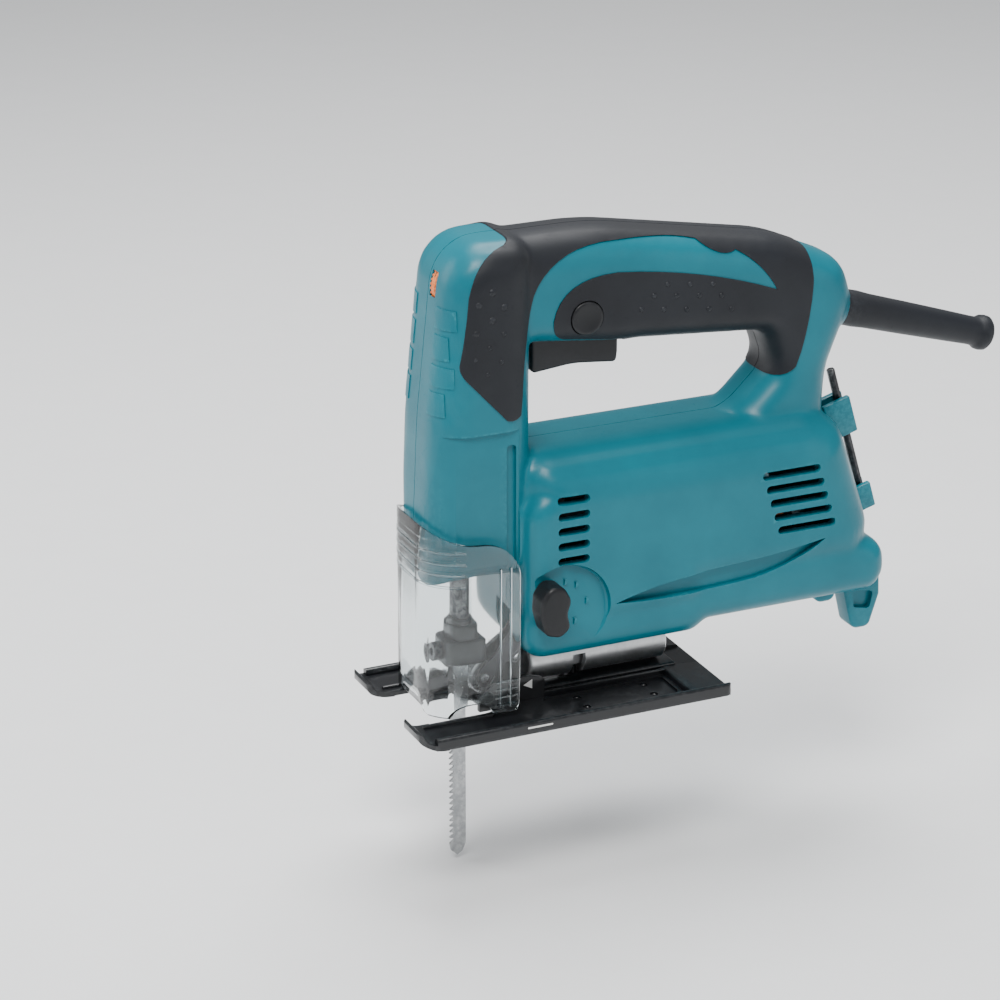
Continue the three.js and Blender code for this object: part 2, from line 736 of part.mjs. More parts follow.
const bush = (start) => tube('z', bushOuter, bushInner, start, start + bushLength, sliderX, 0);
const guideFront = sliderX - bushOuter - 4.5;
const guideLug = (start) => box(guideFront, guideRear, -guideHalfWidth, guideHalfWidth,
  start + 1, start + bushLength - 1);
const guideBore = bushOuter + touchGap;
const sliderGuide = joined([
  box(guideFront, guideFront + guideThickness, -guideHalfWidth, guideHalfWidth, lowerBushStart + 1,
    upperBushStart + bushLength + 8),
  guideLug(lowerBushStart),
  guideLug(upperBushStart),
]).subtract(rod('z', guideBore, lowerBushStart - 1, upperBushStart + bushLength + 1, sliderX, 0));

const clampTop = clampBottom + clampHeight;
const bladeSlotRoom = touchGap;
const bladeClampBlank = joined([
  box(clampFront, clampRear, -clampWidth / 2, clampWidth / 2, clampBottom, clampBottom + 10),
  planPrism(rectangle(clampFront + 2, clampRear - 2, -clampWidth / 2 + 1, clampWidth / 2 - 1, 3),
    clampBottom + 9, clampTop),
]);
const clampScrewZ = clampBottom + 5;
const clampScrew = joined([
  rod('x', 2, clampFront - 1, bladeFront - touchGap - 0.6, 0, clampScrewZ, 16),
  rod('x', 3.6, clampFront - 3.6, clampFront - touchGap, 0, clampScrewZ, 16),
]).subtract(rod('x', 1.7, clampFront - 4, clampFront - 1.8, 0, clampScrewZ, 6));
const bladeClamp = bladeClampBlank
  .subtract(box(bladeFront - bladeSlotRoom, bladeBack + bladeSlotRoom, -bladeThickness / 2 - bladeSlotRoom,
    bladeThickness / 2 + bladeSlotRoom, clampBottom - 1, bladeShankTop + touchGap))
  .subtract(rod('x', 2 + touchGap, clampFront - 1, bladeFront, 0, clampScrewZ, 16));

function sawBladeShape() {
  const shape = new THREE.Shape();
  shape.moveTo(bladeFront, bladeShankTop);
  shape.lineTo(bladeFront, -2);
  const teeth = Math.floor((-2 - bladeTip - 5) / toothPitch);
  for (let tooth = 0; tooth < teeth; tooth += 1) {
    const top = -2 - tooth * toothPitch;
    shape.lineTo(bladeFront + toothDepth, top - toothPitch * 0.35);
    shape.lineTo(bladeFront, top - toothPitch);
  }
  shape.lineTo(bladeFront + bladeWidth * 0.5, bladeTip);
  shape.lineTo(bladeBack, bladeTip + 5);
  shape.lineTo(bladeBack, bladeShankTop);
  return shape;
}
const sawBlade = sidePrism(sawBladeShape(), -bladeThickness / 2, bladeThickness / 2);

// ---------------------------------------------------------------- guide roller and its holder

const rollerHalf = rollerWidth / 2;
const armInner = rollerHalf + touchGap;
const armOuter = armInner + holderArmThickness;
const holderArmShape = (() => {
  const shape = new THREE.Shape();
  const along = new THREE.Vector2(holderPivotX - rollerX, holderPivotZ - rollerZ).normalize();
  const across = new THREE.Vector2(-along.y, along.x).multiplyScalar(holderArmWidth / 2);
  shape.moveTo(rollerX - across.x, rollerZ - across.y);
  shape.lineTo(holderPivotX - across.x, holderPivotZ - across.y);
  shape.lineTo(holderPivotX + 4, holderPivotZ + 4);
  shape.lineTo(holderPivotX + 3, leverZ - leverShaftRadius - 0.8);
  shape.lineTo(holderPivotX - 3, leverZ - leverShaftRadius - 0.8);
  shape.lineTo(holderPivotX + across.x, holderPivotZ + across.y);
  shape.lineTo(rollerX + across.x, rollerZ + across.y);
  return shape;
})();
const holderArm = sidePrism(holderArmShape, armInner, armOuter)
  .add(rod('y', holderArmWidth / 2, armInner, armOuter, rollerX, rollerZ, 20));
const rollerHolder = joined([
  holderArm,
  mirrored(holderArm),
  rod('y', holderPivotRadius, -armOuter - 3, armOuter + 3, holderPivotX, holderPivotZ, 20),
  box(holderPivotX - 3, holderPivotX + 3, -armOuter, armOuter, leverZ - leverShaftRadius - 5,
    leverZ - leverShaftRadius - 0.8),
]).subtract(rod('y', 1.5 + touchGap, -armOuter - 1, armOuter + 1, rollerX, rollerZ, 16));
const guideRoller = tube('y', rollerRadius, 1.5 + bearingGap, -rollerHalf, rollerHalf, rollerX, rollerZ)
  .subtract(box(rollerX - 7, rollerX + 7, -bladeThickness / 2 - touchGap, bladeThickness / 2 + touchGap, 0, 40)
    .subtract(rod('y', rollerRadius - 0.8, -5, 5, rollerX, rollerZ)));
const rollerPin = rod('y', 1.5, -armOuter - 0.4, armOuter + 0.4, rollerX, rollerZ, 16);

// ---------------------------------------------------------------- orbital lever

const lobeSide = -bodyHalfWidth;
const leverShape = outline([
  [-6.5, leverRadius - 5, 3], [-7.5, -1, 6], [-4, -leverRadius + 0.5, 5], [6, -leverRadius + 2.5, 3.5],
  [5, -2, 6], [7, leverRadius - 6, 4], [0, leverRadius - 0.5, 4],
]);
const leverKnob = sidePrism(leverShape, lobeSide - touchGap - leverHeight, lobeSide - touchGap, 1.2)
  .translate([leverX, 0, leverZ]);
const orbitalLever = leverKnob
  .add(rod('y', leverShaftRadius, lobeSide - 1, lobeSide + wall + 3, leverX, leverZ, 20));
const camShaft = rod('y', leverShaftRadius, lobeSide + wall + 3 + touchGap, 12, leverX, leverZ, 20)
  .subtract(box(leverX + 1, leverX + 6, -armOuter - 1, armOuter + 1, leverZ - 5, leverZ + 5));

// ---------------------------------------------------------------- shoe, tilt cylinder and clamp

const shoePlan = outline([
  [shoeFront, -shoeWidth / 2, shoeCornerRadius], [shoeRear, -shoeWidth / 2, 3],
  [shoeRear, shoeWidth / 2, 3], [shoeFront, shoeWidth / 2, shoeCornerRadius],
  [shoeFront, throatHalf, 2], [throatEnd, throatHalf, 6],
  [throatEnd, -throatHalf, 6], [shoeFront, -throatHalf, 2],
]);
const shoeRise = (z0, z1) => planPrism(shoePlan, z0, z1, 3);
const railBand = joined([-1, 1].map((side) => box(shoeFront - 1, shoeRear + 1,
  side > 0 ? shoeWidth / 2 - railWidth : -shoeWidth / 2 - 1, side > 0 ? shoeWidth / 2 + 1 : railWidth - shoeWidth / 2,
  0, railHeight)));
const lipProfile = outline([
  [coverOuterHalf + 0.8, 0, 0], [shoeWidth / 2, 0, 0], [shoeWidth / 2, lipHeight, 2],
  [coverOuterHalf + 0.8, lipHeight, 2], [throatHalf, coverBottom - 1, 0], [throatHalf, 0, 0],
]);
const lip = frontPrism(lipProfile, shoeFront - 1, shoeFront + lipLength);
const channelHalf = channelWidth / 2;
const channelRoof = channelHeight + channelTop;
const cradleHalf = cradleWidth / 2;
const cradleSide = box(cradleStart, cradleEnd, cradleHalf - cradleWall, cradleHalf, 0.5, cradleHeight);
const troughEnd = tiltStart + cradleTroughLength;
const cradle = joined([
  cradleSide,
  mirrored(cradleSide),
  box(tiltStart, troughEnd, -cradleHalf, cradleHalf, 0.5, cradleHeight),
]).subtract(rod('x', tiltRadius + touchGap, tiltStart - 1, cradleEnd + 1, 0, tiltAxisHeight, 32));
const clampSlotHalf = clampBoltRadius + touchGap;
const basePlate = joined([
  shoeRise(0, shoeThickness),
  shoeRise(0, lipHeight).intersect(railBand),
  shoeRise(0, lipHeight).intersect(lip.add(mirrored(lip))),
  box(channelStart, channelEnd, -channelHalf - 2, channelHalf + 2, 0, channelRoof),
  cradle,
])
  .subtract(box(channelStart + 2, channelEnd - 2, -channelHalf, channelHalf, -1, channelHeight))
  .subtract(box(clampBoltX - shoeTravel - clampSlotHalf, clampBoltX + clampSlotHalf, -clampSlotHalf, clampSlotHalf,
    0, channelRoof + 1));

const tiltRod = (radius, start, end, sides = 32) => rod('x', radius, start, end, 0, tiltAxisHeight, sides);
const tiltBoreRadius = tiltRadius - tiltWall;
const arcSlot = (() => {
  const shape = new THREE.Shape();
  const reach = tiltAngle + Math.asin((clampBoltRadius + touchGap) / tiltBoreRadius);
  shape.absarc(0, 0, tiltRadius + 2, -Math.PI / 2 - reach, -Math.PI / 2 + reach, false);
  shape.absarc(0, 0, tiltBoreRadius - 2, -Math.PI / 2 + reach, -Math.PI / 2 - reach, true);
  return frontPrism(cleaned(shape, THREE.Shape, 6), clampBoltX - clampSlotHalf, clampBoltX + clampSlotHalf)
    .translate([0, 0, tiltAxisHeight]);
})();
const flangeBottom = bodyFloor + wall + touchGap;
const baseMount = joined([
  tiltRod(tiltRadius, tiltStart, tiltEnd),
  box(tiltStart + 3, tiltEnd - 3, -tiltNeckWidth / 2, tiltNeckWidth / 2, tiltAxisHeight, flangeBottom + 1),
  box(tiltStart + 3, tiltEnd - 3, -tiltFlangeWidth / 2, tiltFlangeWidth / 2, flangeBottom,
    flangeBottom + tiltFlangeThickness),
])
  .subtract(tiltRod(tiltBoreRadius, tiltStart - 1, tiltEnd + 1))
  .subtract(arcSlot);
const clampNutOuter = tiltBoreRadius - 0.2;
const clampNut = tiltRod(clampNutOuter, clampBoltX - 5, clampBoltX + 5)
  .subtract(tiltRod(clampNutOuter - clampNutThickness, clampBoltX - 6, clampBoltX + 6))
  .intersect(box(clampBoltX - 6, clampBoltX + 6, -4.2, 4.2, 0, tiltAxisHeight))
  .subtract(rod('z', clampBoltRadius + touchGap, 0, tiltAxisHeight, clampBoltX, 0, 16));
const boltHeadTop = channelHeight - touchGap;
const clampBolt = joined([
  rod('z', clampBoltRadius, boltHeadTop - 0.5, tiltAxisHeight - 2, clampBoltX, 0, 16),
  rod('z', clampBoltHeadRadius, boltHeadTop - clampBoltHeadHeight, boltHeadTop, clampBoltX, 0, 6),
]).subtract(rod('z', 1.9, 0, boltHeadTop - 0.8, clampBoltX, 0, 6));

// ---------------------------------------------------------------- dust cover

const coverPlan = (inset, rear) => outline([
  [noseFront - coverGap - coverWall, -coverOuterHalf, nosePlanRadius + coverGap + coverWall],
  [rear, -coverOuterHalf, 0],
  [rear, coverOuterHalf, 0],
  [noseFront - coverGap - coverWall, coverOuterHalf, nosePlanRadius + coverGap + coverWall],
], inset, THREE.Shape, 3);
const coverFront = noseFront - coverGap - coverWall;
const coverSide = outline([
  [coverFront - 1, coverBottom, 0], [coverRear, coverBottom, 4], [coverRear, coverRearTop, 5],
  [coverRear - 14, coverRearTop + 2, 8], [coverFront - 1, coverFrontTop, 0],
]);
const dustCover = planPrism(coverPlan(0, coverRear), 0, coverFrontTop + 5, 3)
  .subtract(planPrism(coverPlan(coverWall, coverRear + 10), -1, coverFrontTop + 6, 3))
  .intersect(sidePrism(coverSide, -40, 40));

// ---------------------------------------------------------------- handle pieces

const handleUnderside = handHoleTop + 5;
const triggerShape = outline([
  [triggerFront, handleUnderside - triggerDrop, 2], [12, handleUnderside - triggerDrop + 3.5, 40],
  [triggerRear, handleUnderside - triggerDrop + 2, 2],
  [triggerRear, handleUnderside + 5, 2], [triggerFront, handleUnderside + 6, 2],
]);
const triggerPivotX = triggerRear - 4;
const triggerPivotZ = handleUnderside + 1.5;
const trigger = sidePrism(triggerShape, -triggerHalfWidth, triggerHalfWidth)
  .add(rod('y', triggerPivotRadius, -triggerHalfWidth - 3, triggerHalfWidth + 3, triggerPivotX, triggerPivotZ, 16));

const switchBody = joined([
  box(-2, 34, -9, 9, handleUnderside + 13, handleUnderside + 29),
  box(2, 10, -3, 3, handleUnderside + 11.5, handleUnderside + 14),
]);
const buttonOuter = -handleHalfWidth - lockStandout;
const buttonFlange = -handleHalfWidth + wall + touchGap;
const lockButton = joined([
  rod('y', lockRadius, buttonOuter, buttonFlange + 1, lockX, lockZ, 28),
  rod('y', lockRadius + lockFlange, buttonFlange, buttonFlange + lockFlangeThickness, lockX, lockZ, 28),
]);
const speedDial = rod('y', dialRadius, dialY - dialThickness / 2, dialY + dialThickness / 2, dialX, dialZ, 40)
  .subtract(rod('y', 2.2, dialY - dialThickness, dialY + dialThickness, dialX, dialZ, 16));
const boardSide = dialY + dialThickness / 2 + 1.5;
const speedBoard = joined([
  box(dialX - 10, dialX + 10, boardSide, boardSide + 1.6, dialZ - 29, dialZ + 3),
  rod('y', 5.5, dialY + dialThickness / 2 + touchGap, boardSide + 0.5, dialX, dialZ, 20),
  rod('y', 1.8, dialY - dialThickness / 2, boardSide, dialX, dialZ, 16),
  box(dialX - 7, dialX + 3, boardSide + 1, boardSide + 7, dialZ - 25, dialZ - 13),
]);
const capacitor = planPrism(rectangle(52, 84, -6, 6, 2), 152, 166);

const sleeveEnd = guardLength - 5;
const collarInner = -8;
const cordGuard = guardLathe([
  [guardBore, collarInner], [guardCollarRadius, collarInner], [guardCollarRadius, collarInner + guardCollarThickness],
  [guardBaseRadius, collarInner + guardCollarThickness], [guardBaseRadius, 6], [guardEndRadius, sleeveEnd - 2],
  [guardLipRadius, sleeveEnd], [guardLipRadius, guardLength - 1], [guardLipRadius - 1, guardLength],
  [guardBore, guardLength], [guardBore, collarInner],
]);
const cordClamp = guardLathe([
  [guardBore, collarInner - 12], [guardBore + 4, collarInner - 12], [guardBore + 4, collarInner - 4],
  [guardBore, collarInner - 4], [guardBore, collarInner - 12],
]);

function keyPath() {
  const [topX, topZ] = keyTop;
  const [bottomX, bottomZ] = keyBottom;
  const path = new THREE.CurvePath();
  const corner = new THREE.Vector3(bottomX, 0, bottomZ);
  const above = new THREE.Vector3(topX - bottomX, 0, topZ - bottomZ).setLength(keyBend).add(corner);
  const beside = new THREE.Vector3(0, keyBend, 0).add(corner);
  path.add(new THREE.LineCurve3(new THREE.Vector3(topX, 0, topZ), above));
  path.add(new THREE.QuadraticBezierCurve3(above, corner, beside));
  path.add(new THREE.LineCurve3(beside, new THREE.Vector3(bottomX, keyShortLeg, bottomZ)));
  return new THREE.CatmullRomCurve3(path.getPoints(6), false, 'centripetal');
}
const hexagon = new THREE.Shape(Array.from({ length: 6 }, (_, i) => new THREE.Vector2(
  (keyAcrossFlats / Math.sqrt(3)) * Math.cos((i * Math.PI) / 3),
  (keyAcrossFlats / Math.sqrt(3)) * Math.sin((i * Math.PI) / 3),
)));
const hexKey = solid(new THREE.ExtrudeGeometry(hexagon, { steps: 24, bevelEnabled: false, extrudePath: keyPath() }));

// ---------------------------------------------------------------- housing halves

const cheekInner = keyAcrossFlats / 2 + 0.6;
const cheekOuter = cheekInner + clipCheek;
const clipBlock = (from, to, behind, ahead) => keyBar(from, to, behind, ahead, -cheekOuter, cheekOuter);
const keyClips = joined([
  clipBlock(keyLength * 0.2, keyLength * 0.46, 10, 3.4),
  keyBar(keyLength - 9, keyLength + 2.8, 14, 3.2, -cheekOuter, cheekOuter),
]);
const keyRoom = joined([
  keyBar(-3, keyLength + 5, 2.2, 20, -cheekInner, cheekInner),
  keyBar(keyLength - 10, keyLength + 5, 2.2, 20, -cheekInner, 30),
]);
const footBlock = sidePrism(outline([
  [lobeRear - 17, bodyFloor + 4, 0], [lobeRear - 12, footBottom, 4], [lobeRear - 3, footBottom, 4],
  [lobeRear, bodyFloor, 3], [lobeRear - 1, bodyFloor + 12, 0], [lobeRear - 14, bodyFloor + 12, 0],
]), -footHalfWidth, footHalfWidth, 1).subtract(
  box(lobeRear - 30, lobeRear - footWall, footWall / 2 + 1, footHalfWidth - footWall, 0, bodyFloor - 1),
).subtract(
  box(lobeRear - 30, lobeRear - footWall, footWall - footHalfWidth, -footWall / 2 - 1, 0, bodyFloor - 1),
);
const guardBoss = guardRod(guardBaseRadius + 3.5, -14, 0.5);
const shellSolid = joined([outerForm, keyClips, footBlock, guardBoss])
  .subtract(innerForm)
  .subtract(keyRoom)
  .subtract(guardRod(guardBaseRadius + touchGap, -30, 2))
  .subtract(guardRod(guardCollarRadius + touchGap, collarInner - 14, collarInner + guardCollarThickness + touchGap));

const ventSlot = (length, x, z) => box(x, x + length, -bodyHalfWidth - 2, bodyHalfWidth + 2,
  z - ventHeight / 2, z + ventHeight / 2);
const ventRows = Array.from({ length: ventCount }, (_, row) => [
  ventSlot(frontVentLength, -3 + row * 0.3, 91 - row * ventPitch),
  ventSlot(rearVentLength, 83 + row * 1.8, 87 - row * 0.88 * ventPitch),
]).flat();

// Thin walls across the cavity that seat the motor and gears, and posts for the screws.
const ribPlates = [
  [5.2, 7.7, -30, 30, 30, 108],
  [13.3, 15.8, -30, 30, 26, 108],
  [48, 50, -30, 30, 26, 108],
  [74, 76, -30, 30, 26, 108],
  [105.2, 107.7, -30, 30, 30, 100],
  [109.5, 112.5, -30, 30, 30, 100],
  [114.3, 116.3, -30, 30, 30, 100],
  [brushX - 4, brushX + 4, -30, 30, 66, 92],
  [-55, -40, -24, 24, 112, 114],
  [38, 40, -17, 17, 150, 190],
];
const ribs = joined(ribPlates.map((plate) => box(...plate))).intersect(ribForm);
const screwPosts = joined(screwPlaces.map(([x, z]) => rod('y', bossRadius, -bodyHalfWidth, bodyHalfWidth, x, z, 10)))
  .intersect(ribForm);
const pivotPosts = joined([
  rod('y', holderPivotRadius + 2.5, -bodyHalfWidth, -armOuter - 0.6, holderPivotX, holderPivotZ, 12),
  rod('y', holderPivotRadius + 2.5, armOuter + 0.6, bodyHalfWidth, holderPivotX, holderPivotZ, 12),
  rod('y', triggerPivotRadius + 2, -handleHalfWidth, -triggerHalfWidth - 0.6, triggerPivotX, triggerPivotZ, 10),
  rod('y', triggerPivotRadius + 2, triggerHalfWidth + 0.6, handleHalfWidth, triggerPivotX, triggerPivotZ, 10),
]).intersect(ribForm);
const keepOuts = joined([
  gearRod(gearPitchRadius + 1.6, -30, gearHousingStart - 0.1, 24),
  axisRod(pinionPitchRadius + 3, -30, 12),
  axisRod(frontBearingRadius + 3 + touchGap, 7, 40),
  axisRod(statorRadius + touchGap + 0.3, coreStart - 20, coreEnd + 12, 24),
  axisRod(shaftRadius + 2, 80, 130),
  axisRod(commutatorRadius + 2, coreEnd, commutatorEnd + 1),
  axisRod(rearBearingRadius + touchGap, rearBearingStart - touchGap, rearBearingStart + rearBearingWidth + touchGap),
  box(guideFront - 1, sliderX + 20, -16, 16, 40, 150),
  box(-3, 35, -9.5, 9.5, handleUnderside + 11, handleUnderside + 30),
]);
const openings = joined([
  rod('z', sliderRadius + 1.5, noseFloor - 5, noseFloor + 5, sliderX, 0),
  rod('x', tiltRadius + touchGap, tiltStart - 1, tiltEnd + 1, 0, tiltAxisHeight),
  box(tiltStart + 2, tiltEnd - 2, -tiltFlangeWidth / 2 - touchGap, tiltFlangeWidth / 2 + touchGap,
    flangeBottom - touchGap, flangeBottom + tiltFlangeThickness + touchGap),
  rod('y', lockRadius + lockFlange + touchGap, -handleHalfWidth + wall,
    buttonFlange + lockFlangeThickness + lockTravel + touchGap, lockX, lockZ, 28),
  box(rollerX - 8, holderPivotX + 6, -armOuter - 1.2, armOuter + 1.2, bodyFloor - 8, bodyFloor + 16),
  box(tiltStart + 2.5, tiltEnd - 2.5, -tiltNeckWidth / 2 - slideGap, tiltNeckWidth / 2 + slideGap,
    bodyFloor - 2, bodyFloor + wall + 1),
  box(triggerFront - 1.8, triggerRear + 0.6, -triggerHalfWidth - 0.6, triggerHalfWidth + 0.6,
    handleUnderside - 6, handleUnderside + 4),
  rod('y', dialRadius + 0.6, dialY - dialThickness / 2 - 0.5, dialY + dialThickness / 2 + 0.5, dialX, dialZ, 28),
  rod('y', lockRadius + 0.4, -handleHalfWidth - 2, -handleHalfWidth + wall + 1, lockX, lockZ, 20),
  rod('y', leverShaftRadius + runningGap, -bodyHalfWidth - 2, -bodyHalfWidth + wall + 4, leverX, leverZ, 20),
  rod('y', holderPivotRadius + runningGap, -armOuter - 4, armOuter + 4, holderPivotX, holderPivotZ, 16),
  rod('y', triggerPivotRadius + runningGap, -triggerHalfWidth - 4, triggerHalfWidth + 4, triggerPivotX,
    triggerPivotZ, 16),
  ...ventRows,
]);
const screwHoles = joined(screwPlaces.map(([x, z]) => rod('y', screwRadius + touchGap, -8, 60, x, z, 8)));
const surfaceAt = (x, z) => {
  const probe = outerForm.intersect(rod('y', screwHeadRadius + touchGap, 0, 60, x, z, 16)).boundingBox();
  return probe.max[1];
};
const headSeats = screwPlaces.map(([x, z]) => surfaceAt(x, z) - 5);
const counterbores = joined(screwPlaces.map(([x, z], i) => (
  rod('y', screwHeadRadius + touchGap, headSeats[i], 60, x, z, 12))));

const housing = shellSolid
  .add(ribs.subtract(keepOuts))
  .add(screwPosts)
  .add(pivotPosts)
  .subtract(gripPocket)
  .subtract(openings)
  .subtract(screwHoles)
  .subtract(counterbores);
const leftSide = box(-200, 300, -100, -seam / 2, -100, 300);
const rightSide = box(-200, 300, seam / 2, 100, -100, 300);

// ---------------------------------------------------------------- nodes

addNode('housing_left', 'teal', housing.intersect(leftSide));
addNode('housing_right', 'teal', housing.intersect(rightSide));
addNode('grip_left', 'rubber', gripSkin.intersect(leftSide)
  .subtract(rod('y', lockRadius + 0.4, -40, -5, lockX, lockZ, 28)));
addNode('grip_right', 'rubber', gripSkin.intersect(rightSide).subtract(counterbores));
addNode('trigger', 'blackPlastic', trigger);
addNode('switch_body', 'blackPlastic', switchBody);
addNode('lock_button', 'blackPlastic', lockButton);
addNode('speed_dial', 'orange', speedDial);
addNode('speed_board', 'board', speedBoard);
addNode('capacitor', 'blackPlastic', capacitor);
addNode('cord_guard', 'rubber', cordGuard);
addNode('cord_clamp', 'blackPlastic', cordClamp);
addNode('armature_shaft', 'steel', armatureShaft);
addNode('armature_core', 'steel', armatureCore);
addNode('armature_windings', 'copper', armatureWindings);
addNode('commutator', 'copper', commutator);
addNode('cooling_fan', 'blackPlastic', coolingFan);
addNode('front_bearing', 'steel', bearing(frontBearingRadius, frontBearingStart, frontBearingWidth));
addNode('rear_bearing', 'steel', bearing(rearBearingRadius, rearBearingStart, rearBearingWidth));
addNode('stator_core', 'steel', statorCore);
addNode('field_coil_top', 'copper', atMotor(fieldCoil));
addNode('field_coil_bottom', 'copper', atMotor(turnedOver(fieldCoil)));
addNode('brush_holder_left', 'copper', brushHolder);
addNode('brush_holder_right', 'copper', mirrored(brushHolder));
addNode('carbon_brush_left', 'carbon', carbonBrush);
addNode('carbon_brush_right', 'carbon', mirrored(carbonBrush));
addNode('gear_housing', 'aluminium', gearHousing);
addNode('drive_gear', 'steel', driveGear);
addNode('gear_pin', 'steel', gearPin);
addNode('crank_pin', 'steel', crankPin);
addNode('crank_roller', 'steel', crankRoller);
addNode('slider_rod', 'steel', sliderRod);
addNode('slider_guide', 'steel', sliderGuide);
addNode('slider_bush_lower', 'copper', bush(lowerBushStart));
addNode('slider_bush_upper', 'copper', bush(upperBushStart));
addNode('blade_clamp', 'blackSteel', bladeClamp);
addNode('blade_clamp_screw', 'steel', clampScrew);
addNode('saw_blade', 'steel', sawBlade);
addNode('roller_holder', 'blackSteel', rollerHolder);
addNode('guide_roller', 'steel', guideRoller);
addNode('roller_pin', 'steel', rollerPin);
addNode('orbital_lever', 'blackPlastic', orbitalLever);
addNode('orbital_cam_shaft', 'steel', camShaft);
addNode('base_plate', 'blackSteel', basePlate);
addNode('tilt_cylinder', 'aluminium', baseMount);
addNode('base_bolt', 'steel', clampBolt);
addNode('clamp_nut', 'steel', clampNut);
addNode('dust_cover', 'clear', dustCover);
addNode('hex_key', 'blackSteel', hexKey);
screwPlaces.forEach(([x, z], i) => {
  const seat = headSeats[i];
  const screw = joined([
    rod('y', screwRadius, -6, seat + 0.5, x, z, 12),
    rod('y', screwHeadRadius, seat + touchGap, seat + touchGap + screwHeadHeight, x, z, 16),
  ]).subtract(rod('y', 1.3, seat + 1.4, seat + 5, x, z, 4));
  addNode(`housing_screw_${i + 1}`, 'blackSteel', screw);
});

export default jigsaw;
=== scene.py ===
import logging
import math
from dataclasses import dataclass
from enum import Enum
from typing import Callable, Optional, Sequence

import bmesh
import bpy
from mathutils import Matrix, Vector
from mathutils.bvhtree import BVHTree


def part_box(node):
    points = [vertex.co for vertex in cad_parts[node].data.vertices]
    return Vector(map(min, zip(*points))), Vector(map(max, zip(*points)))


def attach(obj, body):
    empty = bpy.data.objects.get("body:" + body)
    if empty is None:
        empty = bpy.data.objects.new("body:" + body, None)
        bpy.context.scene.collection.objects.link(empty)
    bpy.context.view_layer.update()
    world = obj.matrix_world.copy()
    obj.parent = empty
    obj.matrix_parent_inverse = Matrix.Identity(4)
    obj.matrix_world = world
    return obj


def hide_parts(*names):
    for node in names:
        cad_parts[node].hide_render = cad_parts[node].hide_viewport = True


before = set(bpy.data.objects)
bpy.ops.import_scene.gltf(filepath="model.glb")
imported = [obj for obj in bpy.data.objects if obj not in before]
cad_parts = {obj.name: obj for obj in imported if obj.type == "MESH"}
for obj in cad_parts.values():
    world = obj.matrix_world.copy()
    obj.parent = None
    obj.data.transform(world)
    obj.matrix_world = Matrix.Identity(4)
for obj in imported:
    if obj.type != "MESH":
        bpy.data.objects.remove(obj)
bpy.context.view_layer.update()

log = logging.getLogger("jigsaw")

Corner = tuple[float, float, float]
Point = tuple[float, float]

MM = 0.001
SHOE_LENGTH = 135.0
SEAM = 0.4
WALL = 4.2


def shoe_middle() -> float:
    """Place of the shoe's middle along X in the row frame, in metres."""
    low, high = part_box("base_plate")
    return (low[0] + high[0]) / 2


ORIGIN_X = shoe_middle()
TO_FRAME = Matrix.Translation((ORIGIN_X, 0, 0)) @ Matrix.Scale(MM, 4)


class View(Enum):
    """The view an outline is drawn in: which of X, Y and Z its two values and its depth are."""

    SIDE = (0, 2, 1)
    PLAN = (0, 1, 2)
    FRONT = (1, 2, 0)


class Axis(Enum):
    """The axis of a turned piece, as the matrix that carries +Z onto it."""

    X = Matrix.Rotation(math.radians(90), 4, "Y")
    Y = Matrix.Rotation(math.radians(-90), 4, "X")
    Z = Matrix.Identity(4)


# ---------------------------------------------------------------------------- outlines


def inset_corners(corners: Sequence[Corner], inset: float) -> list[Corner]:
    """Move every edge of a counter-clockwise outline inwards.

    Args:
        corners: The outline's corners, each as two coordinates and a corner radius.
        inset: Distance to move inwards, or outwards where negative.

    Returns:
        The corners of the moved outline, with radii that stay concentric.
    """
    count = len(corners)
    lines = []
    for index, (a, b, _) in enumerate(corners):
        next_a, next_b, _ = corners[(index + 1) % count]
        along = Vector((next_a - a, next_b - b)).normalized()
        lines.append((Vector((a - along.y * inset, b + along.x * inset)), along))
    moved = []
    for index, (_, _, radius) in enumerate(corners):
        start, before = lines[index - 1]
        point, after = lines[index]
        cross = before.x * after.y - before.y * after.x
        gap = point - start
        distance = (gap.x * after.y - gap.y * after.x) / cross
        corner = start + before * distance
        grown = max(radius - inset, 0.0) if cross > 0 else radius + inset
        moved.append((corner.x, corner.y, grown))
    return moved


def rounded(corners: Sequence[Corner], inset: float = 0.0, steps: int = 8) -> list[Point]:
    """Round an outline's corners with arcs.

    Args:
        corners: Corners as two coordinates and a radius, counter-clockwise.
        inset: Distance to move the outline inwards first.
        steps: Number of straight pieces in each arc.

    Returns:
        The outline's points.
    """
    placed = inset_corners(corners, inset) if inset else list(corners)
    count = len(placed)
    points: list[Point] = []
    for index, (a, b, radius) in enumerate(placed):
        corner = Vector((a, b))
        back = Vector(placed[index - 1][:2]) - corner
        ahead = Vector(placed[(index + 1) % count][:2]) - corner
        half = back.angle(ahead) / 2
        fillet = min(radius, 0.49 * min(back.length, ahead.length) * math.tan(half))
        if fillet < 0.05:
            points.append((a, b))
            continue
        middle = (back.normalized() + ahead.normalized()).normalized()
        centre = corner + middle * fillet / math.sin(half)
        start = corner + back.normalized() * fillet / math.tan(half) - centre
        end = corner + ahead.normalized() * fillet / math.tan(half) - centre
        turn = start.angle_signed(end)
        for step in range(steps + 1):
            angle = -turn * step / steps
            spot = centre + Matrix.Rotation(angle, 2) @ start
            points.append((spot.x, spot.y))
    return points


